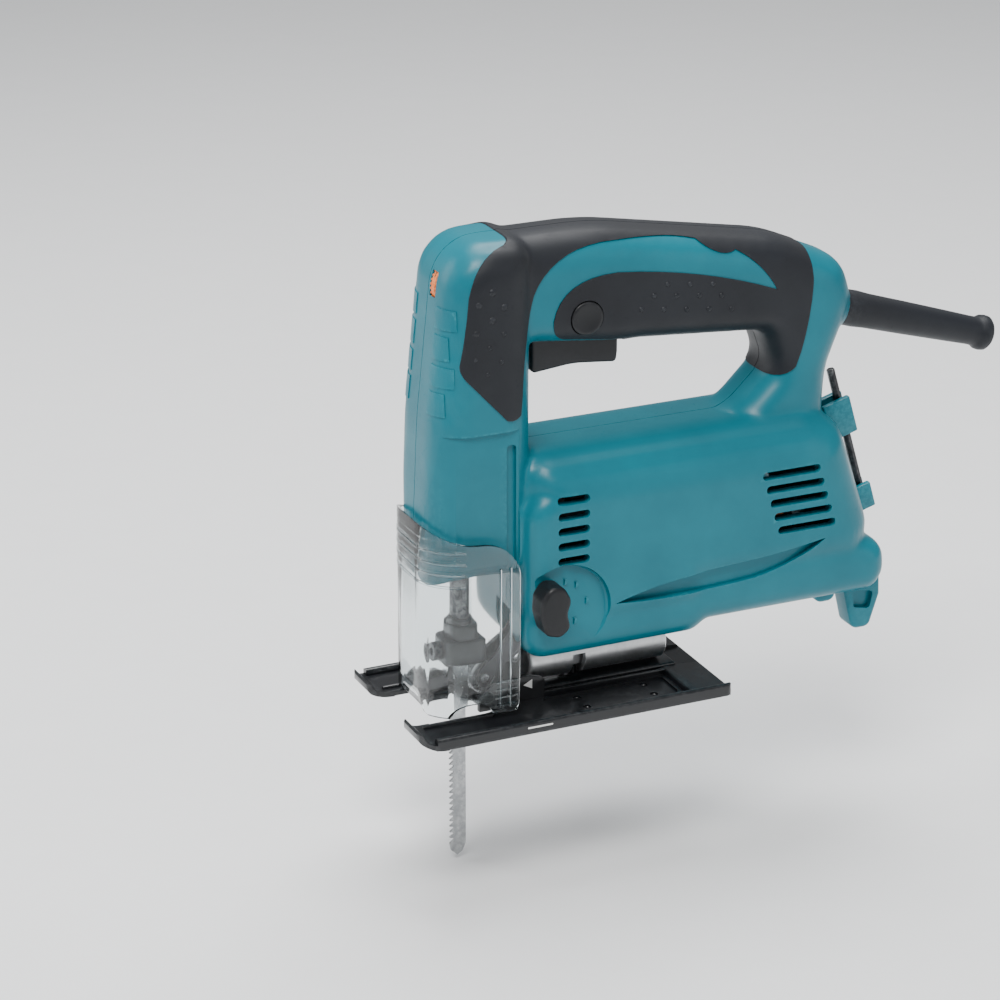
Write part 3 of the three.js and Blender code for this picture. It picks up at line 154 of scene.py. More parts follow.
def swept_curve(start: Point, moves: Sequence[tuple[float, ...]], steps: int = 6) -> list[Point]:
    """Follow lines and quadratic curves round an outline.

    Args:
        start: The first point.
        moves: Each an end point, or a control point and an end point.
        steps: Number of straight pieces in each curve.

    Returns:
        The points on the way, without doubled ones.
    """
    points = [Vector(start)]
    for move in moves:
        here = points[-1]
        end = Vector(move[-2:])
        if len(move) == 2:
            points.append(end)
            continue
        bend = Vector(move[:2])
        for step in range(1, steps + 1):
            t = step / steps
            points.append(here * (1 - t) ** 2 + bend * 2 * t * (1 - t) + end * t * t)
    kept = [p for i, p in enumerate(points) if (p - points[(i + 1) % len(points)]).length > 0.3]
    return [(p.x, p.y) for p in kept]


def rectangle(a0: float, a1: float, b0: float, b1: float, radius: float = 0.0, steps: int = 5) -> list[Point]:
    """Points of a rectangle with rounded corners."""
    return rounded([(a0, b0, radius), (a1, b0, radius), (a1, b1, radius), (a0, b1, radius)], steps=steps)


# ---------------------------------------------------------------------------- solids


class Solid:
    """A closed mesh under construction, in millimetres from the middle of the shoe's underside."""

    def __init__(self) -> None:
        """Start with an empty mesh."""
        self.mesh = bmesh.new()

    @classmethod
    def prism(cls, view: View, outline: Sequence[Point], low: float, high: float,
              hole: Sequence[Point] = ()) -> "Solid":
        """Push an outline through along a view's depth.

        Args:
            view: The view the outline is drawn in.
            outline: Outer points.
            low: Where the prism starts.
            high: Where it ends.
            hole: Points of a hole through it, if it has one.

        Returns:
            The prism.
        """
        solid = cls()
        mesh = solid.mesh
        edges = []
        rings = [ring for ring in (outline, hole) if ring]
        for ring in rings:
            verts = []
            for a, b in ring:
                spot = [0.0, 0.0, 0.0]
                spot[view.value[0]], spot[view.value[1]], spot[view.value[2]] = a, b, low
                verts.append(mesh.verts.new(spot))
            edges += [mesh.edges.new((verts[i - 1], verts[i])) for i in range(len(verts))]
            if len(rings) == 1:
                mesh.faces.new(verts)
        if len(rings) > 1:
            bmesh.ops.triangle_fill(mesh, use_beauty=True, use_dissolve=False, edges=edges)
        pushed = bmesh.ops.extrude_face_region(mesh, geom=mesh.faces[:])["geom"]
        depth = [0.0, 0.0, 0.0]
        depth[view.value[2]] = high - low
        bmesh.ops.translate(mesh, vec=depth, verts=[v for v in pushed if isinstance(v, bmesh.types.BMVert)])
        bmesh.ops.recalc_face_normals(mesh, faces=mesh.faces[:])
        return solid

    @classmethod
    def turned(cls, profile: Sequence[Point], axis: Axis, centre: Sequence[float],
               steps: int = 48) -> "Solid":
        """Spin a profile about an axis.

        Args:
            profile: Points as radius and distance along the axis. It closes on itself
                where it stays off the axis.
            axis: The axis it turns about.
            centre: A point on the axis from which distances count.
            steps: Number of steps in the full turn.

        Returns:
            The turned solid.
        """
        solid = cls()
        mesh = solid.mesh
        verts = [mesh.verts.new((radius, 0.0, distance)) for radius, distance in profile]
        edges = [mesh.edges.new(pair) for pair in zip(verts, verts[1:])]
        if min(profile[0][0], profile[-1][0]) > 0:
            edges.append(mesh.edges.new((verts[-1], verts[0])))
        bmesh.ops.spin(mesh, geom=verts + edges, cent=(0, 0, 0), axis=(0, 0, 1), dvec=(0, 0, 0),
                       angle=math.tau, steps=steps, use_merge=True, use_duplicate=False)
        bmesh.ops.remove_doubles(mesh, verts=mesh.verts[:], dist=0.0005)
        bmesh.ops.recalc_face_normals(mesh, faces=mesh.faces[:])
        return solid.placed(Matrix.Translation(centre) @ axis.value)

    @classmethod
    def rod(cls, axis: Axis, radius: float, start: float, end: float, centre: Sequence[float],
            edge: float = 0.3, steps: int = 48) -> "Solid":
        """A round bar with chamfered ends; start and end count along the axis from centre."""
        profile = [(0, start), (radius - edge, start), (radius, start + edge), (radius, end - edge),
                   (radius - edge, end), (0, end)]
        return cls.turned(profile, axis, centre, steps)

    @classmethod
    def box(cls, x0: float, x1: float, y0: float, y1: float, z0: float, z1: float) -> "Solid":
        """A block between two corners."""
        solid = cls()
        size = Matrix.Diagonal((x1 - x0, y1 - y0, z1 - z0, 1))
        middle = Matrix.Translation(((x0 + x1) / 2, (y0 + y1) / 2, (z0 + z1) / 2))
        bmesh.ops.create_cube(solid.mesh, size=1.0, matrix=middle @ size)
        return solid

    @classmethod
    def dome(cls, centre: Sequence[float], radii: Sequence[float]) -> "Solid":
        """A small rounded bump, as a squashed ball with few faces."""
        solid = cls()
        shape = Matrix.Translation(centre) @ Matrix.Diagonal((*radii, 1))
        bmesh.ops.create_icosphere(solid.mesh, subdivisions=2, radius=1.0, matrix=shape)
        return solid

    def placed(self, matrix: Matrix) -> "Solid":
        """Move or turn the solid."""
        bmesh.ops.transform(self.mesh, matrix=matrix, verts=self.mesh.verts[:])
        return self

    def mirrored(self) -> "Solid":
        """A copy on the other side of the middle plane."""
        other = Solid()
        other.mesh = self.mesh.copy()
        other.placed(Matrix.Diagonal((1, -1, 1, 1)))
        bmesh.ops.reverse_faces(other.mesh, faces=other.mesh.faces[:])
        return other

    def bevelled(self, width: float, segments: int = 3, sharper_than: float = 30.0,
                 where: Optional[Callable[[bmesh.types.BMEdge], bool]] = None) -> "Solid":
        """Round the sharp edges.

        Args:
            width: Bevel width.
            segments: Number of faces across the bevel.
            sharper_than: Only edges that turn by more than this many degrees.
            where: A further test on an edge.

        Returns:
            The same solid.
        """
        limit = math.radians(sharper_than)
        edges = [e for e in self.mesh.edges
                 if e.is_manifold and e.calc_face_angle(0) > limit and (where is None or where(e))]
        bmesh.ops.bevel(self.mesh, geom=edges, offset=width, offset_type="OFFSET", segments=segments,
                        profile=0.5, affect="EDGES", material=-1, clamp_overlap=True)
        return self

    def add(self, *others: "Solid") -> "Solid":
        """Take in other solids as they are, without merging them."""
        for other in others:
            carrier = bpy.data.meshes.new("carrier")
            other.mesh.to_mesh(carrier)
            self.mesh.from_mesh(carrier)
            bpy.data.meshes.remove(carrier)
        return self

    def to_object(self, name: str, smooth_below: float = 35.0) -> bpy.types.Object:
        """Put the solid into the scene, in metres in the row frame.

        Args:
            name: The object's name.
            smooth_below: Edges that turn by fewer degrees are shaded smooth.

        Returns:
            The new object.
        """
        mesh = bpy.data.meshes.new(name)
        self.mesh.transform(TO_FRAME)
        self.mesh.to_mesh(mesh)
        self.mesh.free()
        piece = bpy.data.objects.new(name, mesh)
        bpy.context.scene.collection.objects.link(piece)
        soften(piece, smooth_below)
        return piece


def soften(piece: bpy.types.Object, smooth_below: float = 35.0) -> None:
    """Shade a piece smooth except across its sharp edges."""
    piece.data.shade_smooth()
    piece.data.set_sharp_from_angle(angle=math.radians(smooth_below))


def bake(piece: bpy.types.Object) -> None:
    """Apply all of a piece's modifiers."""
    graph = bpy.context.evaluated_depsgraph_get()
    mesh = bpy.data.meshes.new_from_object(piece.evaluated_get(graph), depsgraph=graph)
    piece.modifiers.clear()
    old = piece.data
    piece.data = mesh
    bpy.data.meshes.remove(old)


def combine(piece: bpy.types.Object, tool: Solid, operation: str = "DIFFERENCE",
            overlapping: bool = False) -> None:
    """Cut, keep or join with a tool solid.

    Args:
        piece: The object to change.
        tool: The other solid. It is used up.
        operation: DIFFERENCE, INTERSECT or UNION.
        overlapping: Whether the tool is made of solids that overlap.
    """
    helper = tool.to_object("tool")
    cut = piece.modifiers.new("cut", "BOOLEAN")
    cut.solver = "EXACT"
    cut.operation = operation
    cut.use_self = overlapping
    cut.object = helper
    bake(piece)
    bpy.data.objects.remove(helper)
    soften(piece)


def melt(piece: bpy.types.Object, voxel: float, smoothing: int) -> None:
    """Run overlapping solids into one rounded skin.

    Args:
        piece: The object to change.
        voxel: Size of the new faces in millimetres.
        smoothing: Number of smoothing passes.
    """
    remesh = piece.modifiers.new("skin", "REMESH")
    remesh.mode = "VOXEL"
    remesh.voxel_size = voxel * MM
    smooth = piece.modifiers.new("smooth", "SMOOTH")
    smooth.factor = 0.5
    smooth.iterations = smoothing
    bake(piece)
    soften(piece)


def copy_of(piece: bpy.types.Object, name: str, outwards: float = 0.0) -> bpy.types.Object:
    """Copy a piece, with its skin moved outwards by some millimetres."""
    twin = bpy.data.objects.new(name, piece.data.copy())
    bpy.context.scene.collection.objects.link(twin)
    if outwards:
        move = twin.modifiers.new("offset", "DISPLACE")
        move.strength = outwards * MM
        move.mid_level = 0.0
        bake(twin)
    return twin


def merged(name: str, pieces: Sequence[bpy.types.Object]) -> bpy.types.Object:
    """Put several objects' meshes into one object and remove them."""
    body = bmesh.new()
    for piece in pieces:
        body.from_mesh(piece.data)
        bpy.data.objects.remove(piece)
    mesh = bpy.data.meshes.new(name)
    body.to_mesh(mesh)
    body.free()
    whole = bpy.data.objects.new(name, mesh)
    bpy.context.scene.collection.objects.link(whole)
    soften(whole)
    return whole


# ---------------------------------------------------------------------------- finishes


class Nodes:
    """Short calls for building a node tree."""

    def __init__(self, tree: bpy.types.NodeTree) -> None:
        """Hold the tree that nodes go into."""
        self.tree = tree

    def new(self, kind: str, inputs: Optional[dict[str, object]] = None,
            **settings: object) -> bpy.types.Node:
        """Add a node.

        Args:
            kind: The node's type, without its ShaderNode prefix.
            inputs: Values or sockets for its inputs, by name or by place.
            **settings: The node's own properties.

        Returns:
            The node.
        """
        node = self.tree.nodes.new("ShaderNode" + kind)
        for key, value in settings.items():
            setattr(node, key, value)
        for key, value in (inputs or {}).items():
            socket = node.inputs[int(key)] if key.isdigit() else node.inputs[key]
            if isinstance(value, bpy.types.NodeSocket):
                self.tree.links.new(value, socket)
            else:
                socket.default_value = value
        return node

    def ramp(self, value: bpy.types.NodeSocket, low: float, high: float, to_low: float = 0.0,
             to_high: float = 1.0) -> bpy.types.NodeSocket:
        """Stretch a value from one range to another, clamped."""
        node = self.new("MapRange", {"Value": value, "From Min": low, "From Max": high, "To Min": to_low,
                                     "To Max": to_high})
        return node.outputs["Result"]

    def mix(self, factor: bpy.types.NodeSocket, first: object, second: object) -> bpy.types.NodeSocket:
        """Mix two colours."""
        node = self.new("Mix", {"0": factor, "6": first, "7": second}, data_type="RGBA")
        return node.outputs[2]


def effect(name: str, inputs: dict[str, float], outputs: Sequence[str],
           fill: Callable[[Nodes, bpy.types.Node], dict[str, bpy.types.NodeSocket]]) -> bpy.types.NodeTree:
    """Build a shared node group.

    Args:
        name: The group's name.
        inputs: Its number inputs and their defaults.
        outputs: Names of its number outputs.
        fill: Builds the inside from the group's input node and returns a socket for each output.

    Returns:
        The group.
    """
    tree = bpy.data.node_groups.new(name, "ShaderNodeTree")
    for label, value in inputs.items():
        socket = tree.interface.new_socket(label, in_out="INPUT", socket_type="NodeSocketFloat")
        socket.default_value = value
    for label in outputs:
        tree.interface.new_socket(label, in_out="OUTPUT", socket_type="NodeSocketFloat")
    entry = tree.nodes.new("NodeGroupInput")
    leave = tree.nodes.new("NodeGroupOutput")
    for label, socket in fill(Nodes(tree), entry).items():
        tree.links.new(socket, leave.inputs[label])
    return tree


def fill_grain(nodes: Nodes, entry: bpy.types.Node) -> dict[str, bpy.types.NodeSocket]:
    """Inside of the moulded grain: a fine texture, a slow change of tone and faint scuffs."""
    place = nodes.new("TexCoord").outputs["Object"]
    fine = nodes.new("TexNoise", {"Vector": place, "Scale": entry.outputs["Fineness"], "Detail": 3.0,
                                  "Roughness": 0.6})
    slow = nodes.new("TexNoise", {"Vector": place, "Scale": 34.0, "Detail": 5.0, "Roughness": 0.55})
    warped = nodes.new("TexNoise", {"Vector": place, "Scale": 210.0, "Detail": 2.0, "Distortion": 2.5})
    return {"Grain": fine.outputs["Fac"], "Tone": nodes.ramp(slow.outputs["Fac"], 0.32, 0.7),
            "Scuffs": nodes.ramp(warped.outputs["Fac"], 0.62, 0.74)}


def fill_wear(nodes: Nodes, entry: bpy.types.Node) -> dict[str, bpy.types.NodeSocket]:
    """Inside of the edge wear: raised edges, broken up by a patchy texture."""
    edge = nodes.new("NewGeometry").outputs["Pointiness"]
    place = nodes.new("TexCoord").outputs["Object"]
    patches = nodes.new("TexNoise", {"Vector": place, "Scale": 420.0, "Detail": 4.0, "Roughness": 0.7})
    rubbed = nodes.ramp(edge, 0.51, 0.58)
    broken = nodes.ramp(patches.outputs["Fac"], 0.42, 0.62)
    both = nodes.new("Math", {"0": rubbed, "1": broken}, operation="MULTIPLY").outputs[0]
    share = nodes.new("Math", {"0": both, "1": entry.outputs["Amount"]}, operation="MULTIPLY")
    return {"Wear": share.outputs[0]}


def fill_brushed(nodes: Nodes, entry: bpy.types.Node) -> dict[str, bpy.types.NodeSocket]:
    """Inside of the machined lines: a texture stretched along each axis by its own amount."""
    place = nodes.new("TexCoord").outputs["Object"]
    stretch = nodes.new("CombineXYZ", {"X": entry.outputs["Along X"], "Y": entry.outputs["Along Y"],
                                       "Z": entry.outputs["Along Z"]})
    lines = nodes.new("Mapping", {"Vector": place, "Scale": stretch.outputs[0]})
    streaks = nodes.new("TexNoise",
                        {"Vector": lines.outputs[0], "Scale": 1.0, "Detail": 4.0, "Roughness": 0.65})
    return {"Lines": streaks.outputs["Fac"]}


def fill_dust(nodes: Nodes, entry: bpy.types.Node) -> dict[str, bpy.types.NodeSocket]:
    """Inside of the dust: a soft veil on faces that look up."""
    normal = nodes.new("SeparateXYZ", {"Vector": nodes.new("NewGeometry").outputs["Normal"]})
    place = nodes.new("TexCoord").outputs["Object"]
    drift = nodes.new("TexNoise", {"Vector": place, "Scale": 90.0, "Detail": 6.0, "Roughness": 0.7})
    up = nodes.ramp(normal.outputs["Z"], 0.35, 0.95)
    patchy = nodes.ramp(drift.outputs["Fac"], 0.45, 0.75)
    veil = nodes.new("Math", {"0": up, "1": patchy}, operation="MULTIPLY").outputs[0]
    share = nodes.new("Math", {"0": veil, "1": entry.outputs["Amount"]}, operation="MULTIPLY")
    return {"Dust": share.outputs[0]}


@dataclass(frozen=True)
class Effects:
    """The shader groups that the finishes share."""

    grain: bpy.types.NodeTree
    wear: bpy.types.NodeTree
    brushed: bpy.types.NodeTree
    dust: bpy.types.NodeTree

    @classmethod
    def build(cls) -> "Effects":
        """Make every group once."""
        return cls(
            effect("moulded_grain", {"Fineness": 1500.0}, ["Grain", "Tone", "Scuffs"], fill_grain),
            effect("edge_wear", {"Amount": 0.5}, ["Wear"], fill_wear),
            effect("machined_lines", {"Along X": 60.0, "Along Y": 3000.0, "Along Z": 3000.0}, ["Lines"],
                   fill_brushed),
            effect("dust_veil", {"Amount": 0.3}, ["Dust"], fill_dust),
        )


Colour = tuple[float, float, float]


def opaque(colour: Colour) -> tuple[float, float, float, float]:
    """A colour with full alpha."""
    return (*colour, 1.0)


@dataclass(frozen=True)
class Finish:
    """A moulded or painted finish: colour and tone, grain, edge wear and dust.

    Attributes:
        name: The material's name.
        slot: The record's material slot.
        colour: Main colour.
        shade: Colour of the darker patches.
        rubbed: Colour where edges have worn.
        roughness: Lowest and highest roughness.
        fineness: Grain frequency, per metre.
        relief: Grain depth in millimetres.
        wear: Share of edge wear.
        dust: Share of dust.
        metallic: 1 for metal, 0 for plastic.
        coat: Weight of the clear coat.
        sheen: Weight of the sheen.
        specular: Strength of the surface reflection.
    """

    name: str
    slot: str
    colour: Colour
    shade: Colour
    rubbed: Colour
    roughness: tuple[float, float] = (0.4, 0.5)
    fineness: float = 1500.0
    relief: float = 0.03
    wear: float = 0.5
    dust: float = 0.15
    metallic: float = 0.0
    coat: float = 0.0
    sheen: float = 0.0
    specular: float = 0.32

    def texture(self, nodes: Nodes, effects: Effects) -> tuple[bpy.types.NodeSocket, ...]:
        """Height, tone and scuffs of the surface, each as a socket."""
        grain = nodes.new("Group", node_tree=effects.grain)
        grain.inputs["Fineness"].default_value = self.fineness
        return grain.outputs["Grain"], grain.outputs["Tone"], grain.outputs["Scuffs"]

    def build(self, effects: Effects) -> bpy.types.Material:
        """Build the material.

        Args:
            effects: The shared shader groups.

        Returns:
            The material.
        """
        material = bpy.data.materials.new(self.name)
        material.use_nodes = True
        material.diffuse_color = opaque(self.colour)
        material.node_tree.nodes.clear()
        nodes = Nodes(material.node_tree)
        height, tone, scuffs = self.texture(nodes, effects)
        wear = nodes.new("Group", node_tree=effects.wear)
        wear.inputs["Amount"].default_value = self.wear
        dust = nodes.new("Group", node_tree=effects.dust)
        dust.inputs["Amount"].default_value = self.dust
        colour = nodes.mix(tone, opaque(self.colour), opaque(self.shade))
        colour = nodes.mix(wear.outputs["Wear"], colour, opaque(self.rubbed))
        colour = nodes.mix(dust.outputs["Dust"], colour, (0.55, 0.5, 0.43, 1.0))
        low, high = self.roughness
        rough = nodes.ramp(tone, 0.0, 1.0, low, high)
        rough = nodes.new("Math", {"0": scuffs, "1": 0.1, "2": rough}, operation="MULTIPLY_ADD").outputs[0]
        rough = nodes.new("Math", {"0": dust.outputs["Dust"], "1": 0.35, "2": rough},
                          operation="MULTIPLY_ADD")
        bump = nodes.new("Bump", {"Height": height, "Strength": 0.6, "Distance": self.relief * MM})
        shader = nodes.new("BsdfPrincipled", {
            "Base Color": colour, "Roughness": rough.outputs[0], "Normal": bump.outputs[0],
            "Metallic": self.metallic, "Coat Weight": self.coat, "Sheen Weight": self.sheen,
            "Specular IOR Level": self.specular,
        })
        output = nodes.new("OutputMaterial")
        nodes.tree.links.new(shader.outputs[0], output.inputs["Surface"])
        return material


@dataclass(frozen=True)
class MachinedFinish(Finish):
    """A metal with lines left by turning, rolling or grinding.

    Attributes:
        lines: How closely the lines lie along X, Y and Z, per metre.
    """

    lines: tuple[float, float, float] = (60.0, 2600.0, 2600.0)

    def texture(self, nodes: Nodes, effects: Effects) -> tuple[bpy.types.NodeSocket, ...]:
        """Machined lines in place of the moulded grain."""
        _, tone, scuffs = super().texture(nodes, effects)
        brushed = nodes.new("Group", node_tree=effects.brushed)
        for label, value in zip(("Along X", "Along Y", "Along Z"), self.lines):
            brushed.inputs[label].default_value = value
        return brushed.outputs["Lines"], tone, scuffs


@dataclass(frozen=True)
class ClearFinish(Finish):
    """Clear moulded plastic: glass-like, with faint haze and scratches."""

    def build(self, effects: Effects) -> bpy.types.Material:
        """Build the material.

        Args:
            effects: The shared shader groups.

        Returns:
            The material.
        """
        material = bpy.data.materials.new(self.name)
        material.use_nodes = True
        material.diffuse_color = (*self.colour, 0.35)
        material.node_tree.nodes.clear()
        nodes = Nodes(material.node_tree)
        height, tone, scuffs = self.texture(nodes, effects)
        colour = nodes.mix(tone, opaque(self.colour), opaque(self.shade))
        rough = nodes.ramp(tone, 0.0, 1.0, *self.roughness)
        rough = nodes.new("Math", {"0": scuffs, "1": 0.12, "2": rough}, operation="MULTIPLY_ADD")
        bump = nodes.new("Bump", {"Height": height, "Strength": 0.25, "Distance": self.relief * MM})
        shader = nodes.new("BsdfPrincipled", {
            "Base Color": colour, "Roughness": rough.outputs[0], "Normal": bump.outputs[0],
            "Transmission Weight": 1.0, "IOR": 1.45,
        })
        output = nodes.new("OutputMaterial")
        nodes.tree.links.new(shader.outputs[0], output.inputs["Surface"])
        return material


class Palette:
    """Every finish on the tool, built as materials."""

    teal = Finish("teal_moulding", "teal_plastic", (0.0006, 0.150, 0.200), (0.0005, 0.122, 0.166),
                  (0.05, 0.33, 0.39), (0.3, 0.4), 1900.0, 0.02, 0.3, 0.0)
    rubber = Finish("soft_rubber", "soft_grip", (0.0085, 0.0105, 0.015), (0.006, 0.0072, 0.0102),
                    (0.05, 0.055, 0.065), (0.46, 0.58), 2600.0, 0.05, 0.3, 0.0, sheen=0.03)
    black = Finish("black_moulding", "black_plastic", (0.0085, 0.0095, 0.012), (0.006, 0.0066, 0.008),
                   (0.06, 0.06, 0.065), (0.34, 0.44), 1800.0, 0.03, 0.3, 0.0)
    coated = Finish("black_coated_steel", "black_steel", (0.0080, 0.0090, 0.011), (0.0055, 0.0062, 0.0075),
                    (0.1, 0.105, 0.11), (0.27, 0.36), 2200.0, 0.02, 0.25, 0.0, coat=0.3)
    orange = Finish("orange_moulding", "orange_plastic", (0.83, 0.2, 0.035), (0.74, 0.16, 0.025),
                    (0.9, 0.45, 0.2), (0.38, 0.46), 1700.0, 0.02, 0.3, 0.03)
    ink = Finish("printed_white", "black_steel", (0.8, 0.8, 0.78), (0.7, 0.7, 0.69), (0.6, 0.6, 0.6),
                 (0.45, 0.55), 2400.0, 0.01, 0.2, 0.0)
    dark_ink = Finish("printed_black", "orange_plastic", (0.02, 0.02, 0.02), (0.03, 0.03, 0.03),
                      (0.1, 0.1, 0.1), (0.45, 0.55), 2400.0, 0.01, 0.2, 0.0)
    board = Finish("solder_mask", "circuit_board", (0.02, 0.14, 0.05), (0.015, 0.11, 0.04),
                   (0.3, 0.35, 0.2), (0.3, 0.42), 900.0, 0.02, 0.3, 0.0, coat=0.4)
    copper = MachinedFinish("enamelled_copper", "copper", (0.48, 0.15, 0.05), (0.36, 0.1, 0.035),
                            (0.8, 0.4, 0.22), (0.24, 0.36), 1500.0, 0.04, 0.4, 0.0, metallic=1.0,
                            lines=(2600.0, 90.0, 90.0))
    blade = MachinedFinish("blade_steel", "steel", (0.4, 0.41, 0.42), (0.3, 0.31, 0.32), (0.7, 0.7, 0.7),
                           (0.2, 0.32), 1500.0, 0.02, 0.4, 0.0, metallic=1.0, lines=(2600.0, 2600.0, 70.0))
    steel = MachinedFinish("ground_steel", "steel", (0.6, 0.61, 0.62), (0.48, 0.49, 0.5), (0.8, 0.8, 0.8),
                           (0.26, 0.38), 1500.0, 0.02, 0.4, 0.03, metallic=1.0, lines=(2600.0, 2600.0, 70.0))
    turned = MachinedFinish("turned_steel", "steel", (0.58, 0.59, 0.6), (0.44, 0.45, 0.46), (0.8, 0.8, 0.8),
                            (0.22, 0.34), 1500.0, 0.02, 0.4, 0.0, metallic=1.0, lines=(3000.0, 120.0, 120.0))
    oxide = MachinedFinish("oxide_steel", "steel", (0.045, 0.045, 0.05), (0.03, 0.03, 0.033), (0.4, 0.4, 0.4),
                           (0.3, 0.42), 1500.0, 0.02, 0.6, 0.03, metallic=0.9, lines=(600.0, 600.0, 60.0))
    cast = Finish("grey_casting", "die_cast", (0.05, 0.053, 0.058), (0.035, 0.037, 0.041), (0.3, 0.3, 0.3),
                  (0.4, 0.5), 900.0, 0.06, 0.4, 0.0, metallic=0.8)
    silver = MachinedFinish("die_cast_silver", "die_cast", (0.72, 0.73, 0.74), (0.6, 0.61, 0.62),
                            (0.9, 0.9, 0.9), (0.3, 0.42), 1500.0, 0.03, 0.4, 0.03, metallic=1.0,
                            lines=(40.0, 2400.0, 2400.0))
    clear = ClearFinish("clear_moulding", "clear_plastic", (0.93, 0.97, 0.98), (0.88, 0.94, 0.95),
                        (1.0, 1.0, 1.0), (0.03, 0.08), 900.0, 0.02, 0.2, 0.05)

    def __init__(self) -> None:
        """Build the shared effects, then nothing until a finish is asked for."""
        self.effects = Effects.build()
        self.made: dict[str, bpy.types.Material] = {}

    def material(self, finish: Finish) -> bpy.types.Material:
        """A finish's material, built the first time it is asked for."""
        if finish.name not in self.made:
            self.made[finish.name] = finish.build(self.effects)
        return self.made[finish.name]

    def dress(self, piece: bpy.types.Object, finish: Finish) -> None:
        """Give a whole piece one finish."""
        piece.data.materials.clear()
        piece.data.materials.append(self.material(finish))


class Workshop:
    """Puts finished pieces on their bodies and reports them."""

    def __init__(self, palette: Palette) -> None:
        """Hold the palette."""
        self.palette = palette

    def fit(self, piece: bpy.types.Object, body: str, finish: Finish, *nodes: str) -> bpy.types.Object:
        """Dress a new piece and let it ride on its body.

        Args:
            piece: The piece.
            body: The body it moves with.
            finish: Its finish.
            *nodes: CAD nodes it stands for.

        Returns:
            The same piece.
        """
        self.palette.dress(piece, finish)
        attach(piece, body)
        if nodes:
            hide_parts(*nodes)
        log.info("%s on %s, %d faces", piece.name, body, len(piece.data.polygons))
        return piece

    def keep(self, finish: Finish, edge: float, *nodes: str) -> None:
        """Give CAD nodes that stay a finish and small rounded edges.

        Args:
            finish: Their finish.
            edge: Width of the rounding in millimetres.
            *nodes: The nodes.
        """
        material = self.palette.material(finish)
        for name in nodes:
            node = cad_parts[name]
            if node.material_slots:
                for slot in node.material_slots:
                    slot.material = material
            else:
                node.data.materials.append(material)
            weld = node.modifiers.new("weld", "WELD")
            weld.merge_threshold = 0.002 * MM
            bevel = node.modifiers.new("edges", "BEVEL")
            bevel.width = edge * MM
            bevel.segments = 2
            bevel.limit_method = "ANGLE"
            bevel.angle_limit = math.radians(32)
            bevel.harden_normals = False
            log.info("%s kept", name)


# ---------------------------------------------------------------------------- housing


@dataclass
class HousingForm:
    """Outside form of the moulded housing, as layered outlines that melt into one skin."""

    voxel: float = 1.25
    smoothing: int = 10
    body_half: float = 30.0
    lobe_half: float = 28.5
    nose_half: float = 23.0
    handle_half: float = 17.0
    hand_hole: tuple[Corner, ...] = (
        (-12, 107, 8), (78, 107, 26), (97.5, 126, 9), (92, 141.5, 6), (36, 146, 4), (27.5, 145.8, 3),
        (-12, 150.4, 3))
    handle: tuple[Corner, ...] = (
        (-44, 70, 10), (119, 70, 10), (121.5, 122, 30), (132.5, 150, 12), (127.5, 166, 16), (96, 179.4, 60),
        (18, 193.2, 120), (-44, 193.2, 28))
    nose: tuple[Corner, ...] = (
        (-55.6, 58, 3), (-11, 58, 3), (-11, 194.2, 9), (-45.4, 194.4, 27), (-52.6, 125, 120))
    body: tuple[Corner, ...] = (
        (-18, 38, 10), (136, 38, 10), (138.5, 58, 14), (124, 102, 16), (107, 108.5, 14), (-18, 108.5, 12))
    shoulder: tuple[Corner, ...] = ((-18, 38, 8), (60, 38, 8), (60, 95, 8), (-18, 95, 12))
    lobe: tuple[Corner, ...] = (
        (-18, 24, 9), (56, 24, 1), (62, 28, 1), (138, 28, 6), (144, 35, 10), (143, 48, 9), (127, 54.5, 10),
        (-18, 54.5, 9))

    def layers(self, outline: Sequence[Corner], half: float, rounding: float, hole_rounding: float = 0.0,
               holed: bool = False, inset: float = 0.0, count: int = 8) -> Solid:
        """Stack outlines so that together they have rounded sides.

        Args:
            outline: Side-view corners.
            half: Half width of the widest layer.
            rounding: Radius of the rounded sides.
            hole_rounding: The same round the hand hole.
            holed: Whether the hand hole goes through.
            inset: Distance by which everything shrinks.
            count: Number of layers.

        Returns:
            The overlapping layers as one mesh.
        """
        stack = Solid()
        side_radius = rounding - inset
        hole_radius = hole_rounding - inset
        for layer in range(count):
            angle = math.pi / 2 * layer / (count - 1)
            pull = 1 - math.sin(angle)
            width = half - inset - side_radius * (1 - math.cos(angle))
            outer = rounded(outline, inset + side_radius * pull)
            hole = rounded(self.hand_hole, -inset - hole_radius * pull) if holed else ()
            stack.add(Solid.prism(View.SIDE, outer, -width, width, hole))
        return stack

    def solids(self, inset: float, count: int) -> Solid:
        """All parts of the form, shrunk by inset."""
        nose = self.layers(self.nose, self.nose_half, 14, inset=inset, count=count)
        handle = self.layers(self.handle, self.handle_half, 13, 9, True, inset, count)
        body = self.layers(self.body, self.body_half, 19, inset=inset, count=count)
        shoulder = self.layers(self.shoulder, self.body_half, 7, inset=inset, count=count)
        lobe = self.layers(self.lobe, self.lobe_half, 9, inset=inset, count=count)
        boss = [(0, -20), (10.6 - inset, -20), (10.4 - inset, -7 - inset), (8.6 - inset, -4.6 - inset),
                (0, -4.6 - inset)]
        collar = Solid.turned(boss, Axis.Z, (0, 0, 0), 48).placed(CordGuard().place())
        return Solid().add(nose, handle, body, shoulder, lobe, collar)

    def skin(self, name: str, inset: float = 0.0) -> bpy.types.Object:
        """The melted form, with the hand hole cleared.

        Args:
            name: The object's name.
            inset: Distance by which it shrinks.

        Returns:
            The closed skin.
        """
        outside = inset == 0
        quick = 1.0
        piece = self.solids(inset, 14 if outside else 5).to_object(name)
        melt(piece, (self.voxel if outside else 2.2) * quick, self.smoothing if outside else 2)
        return piece


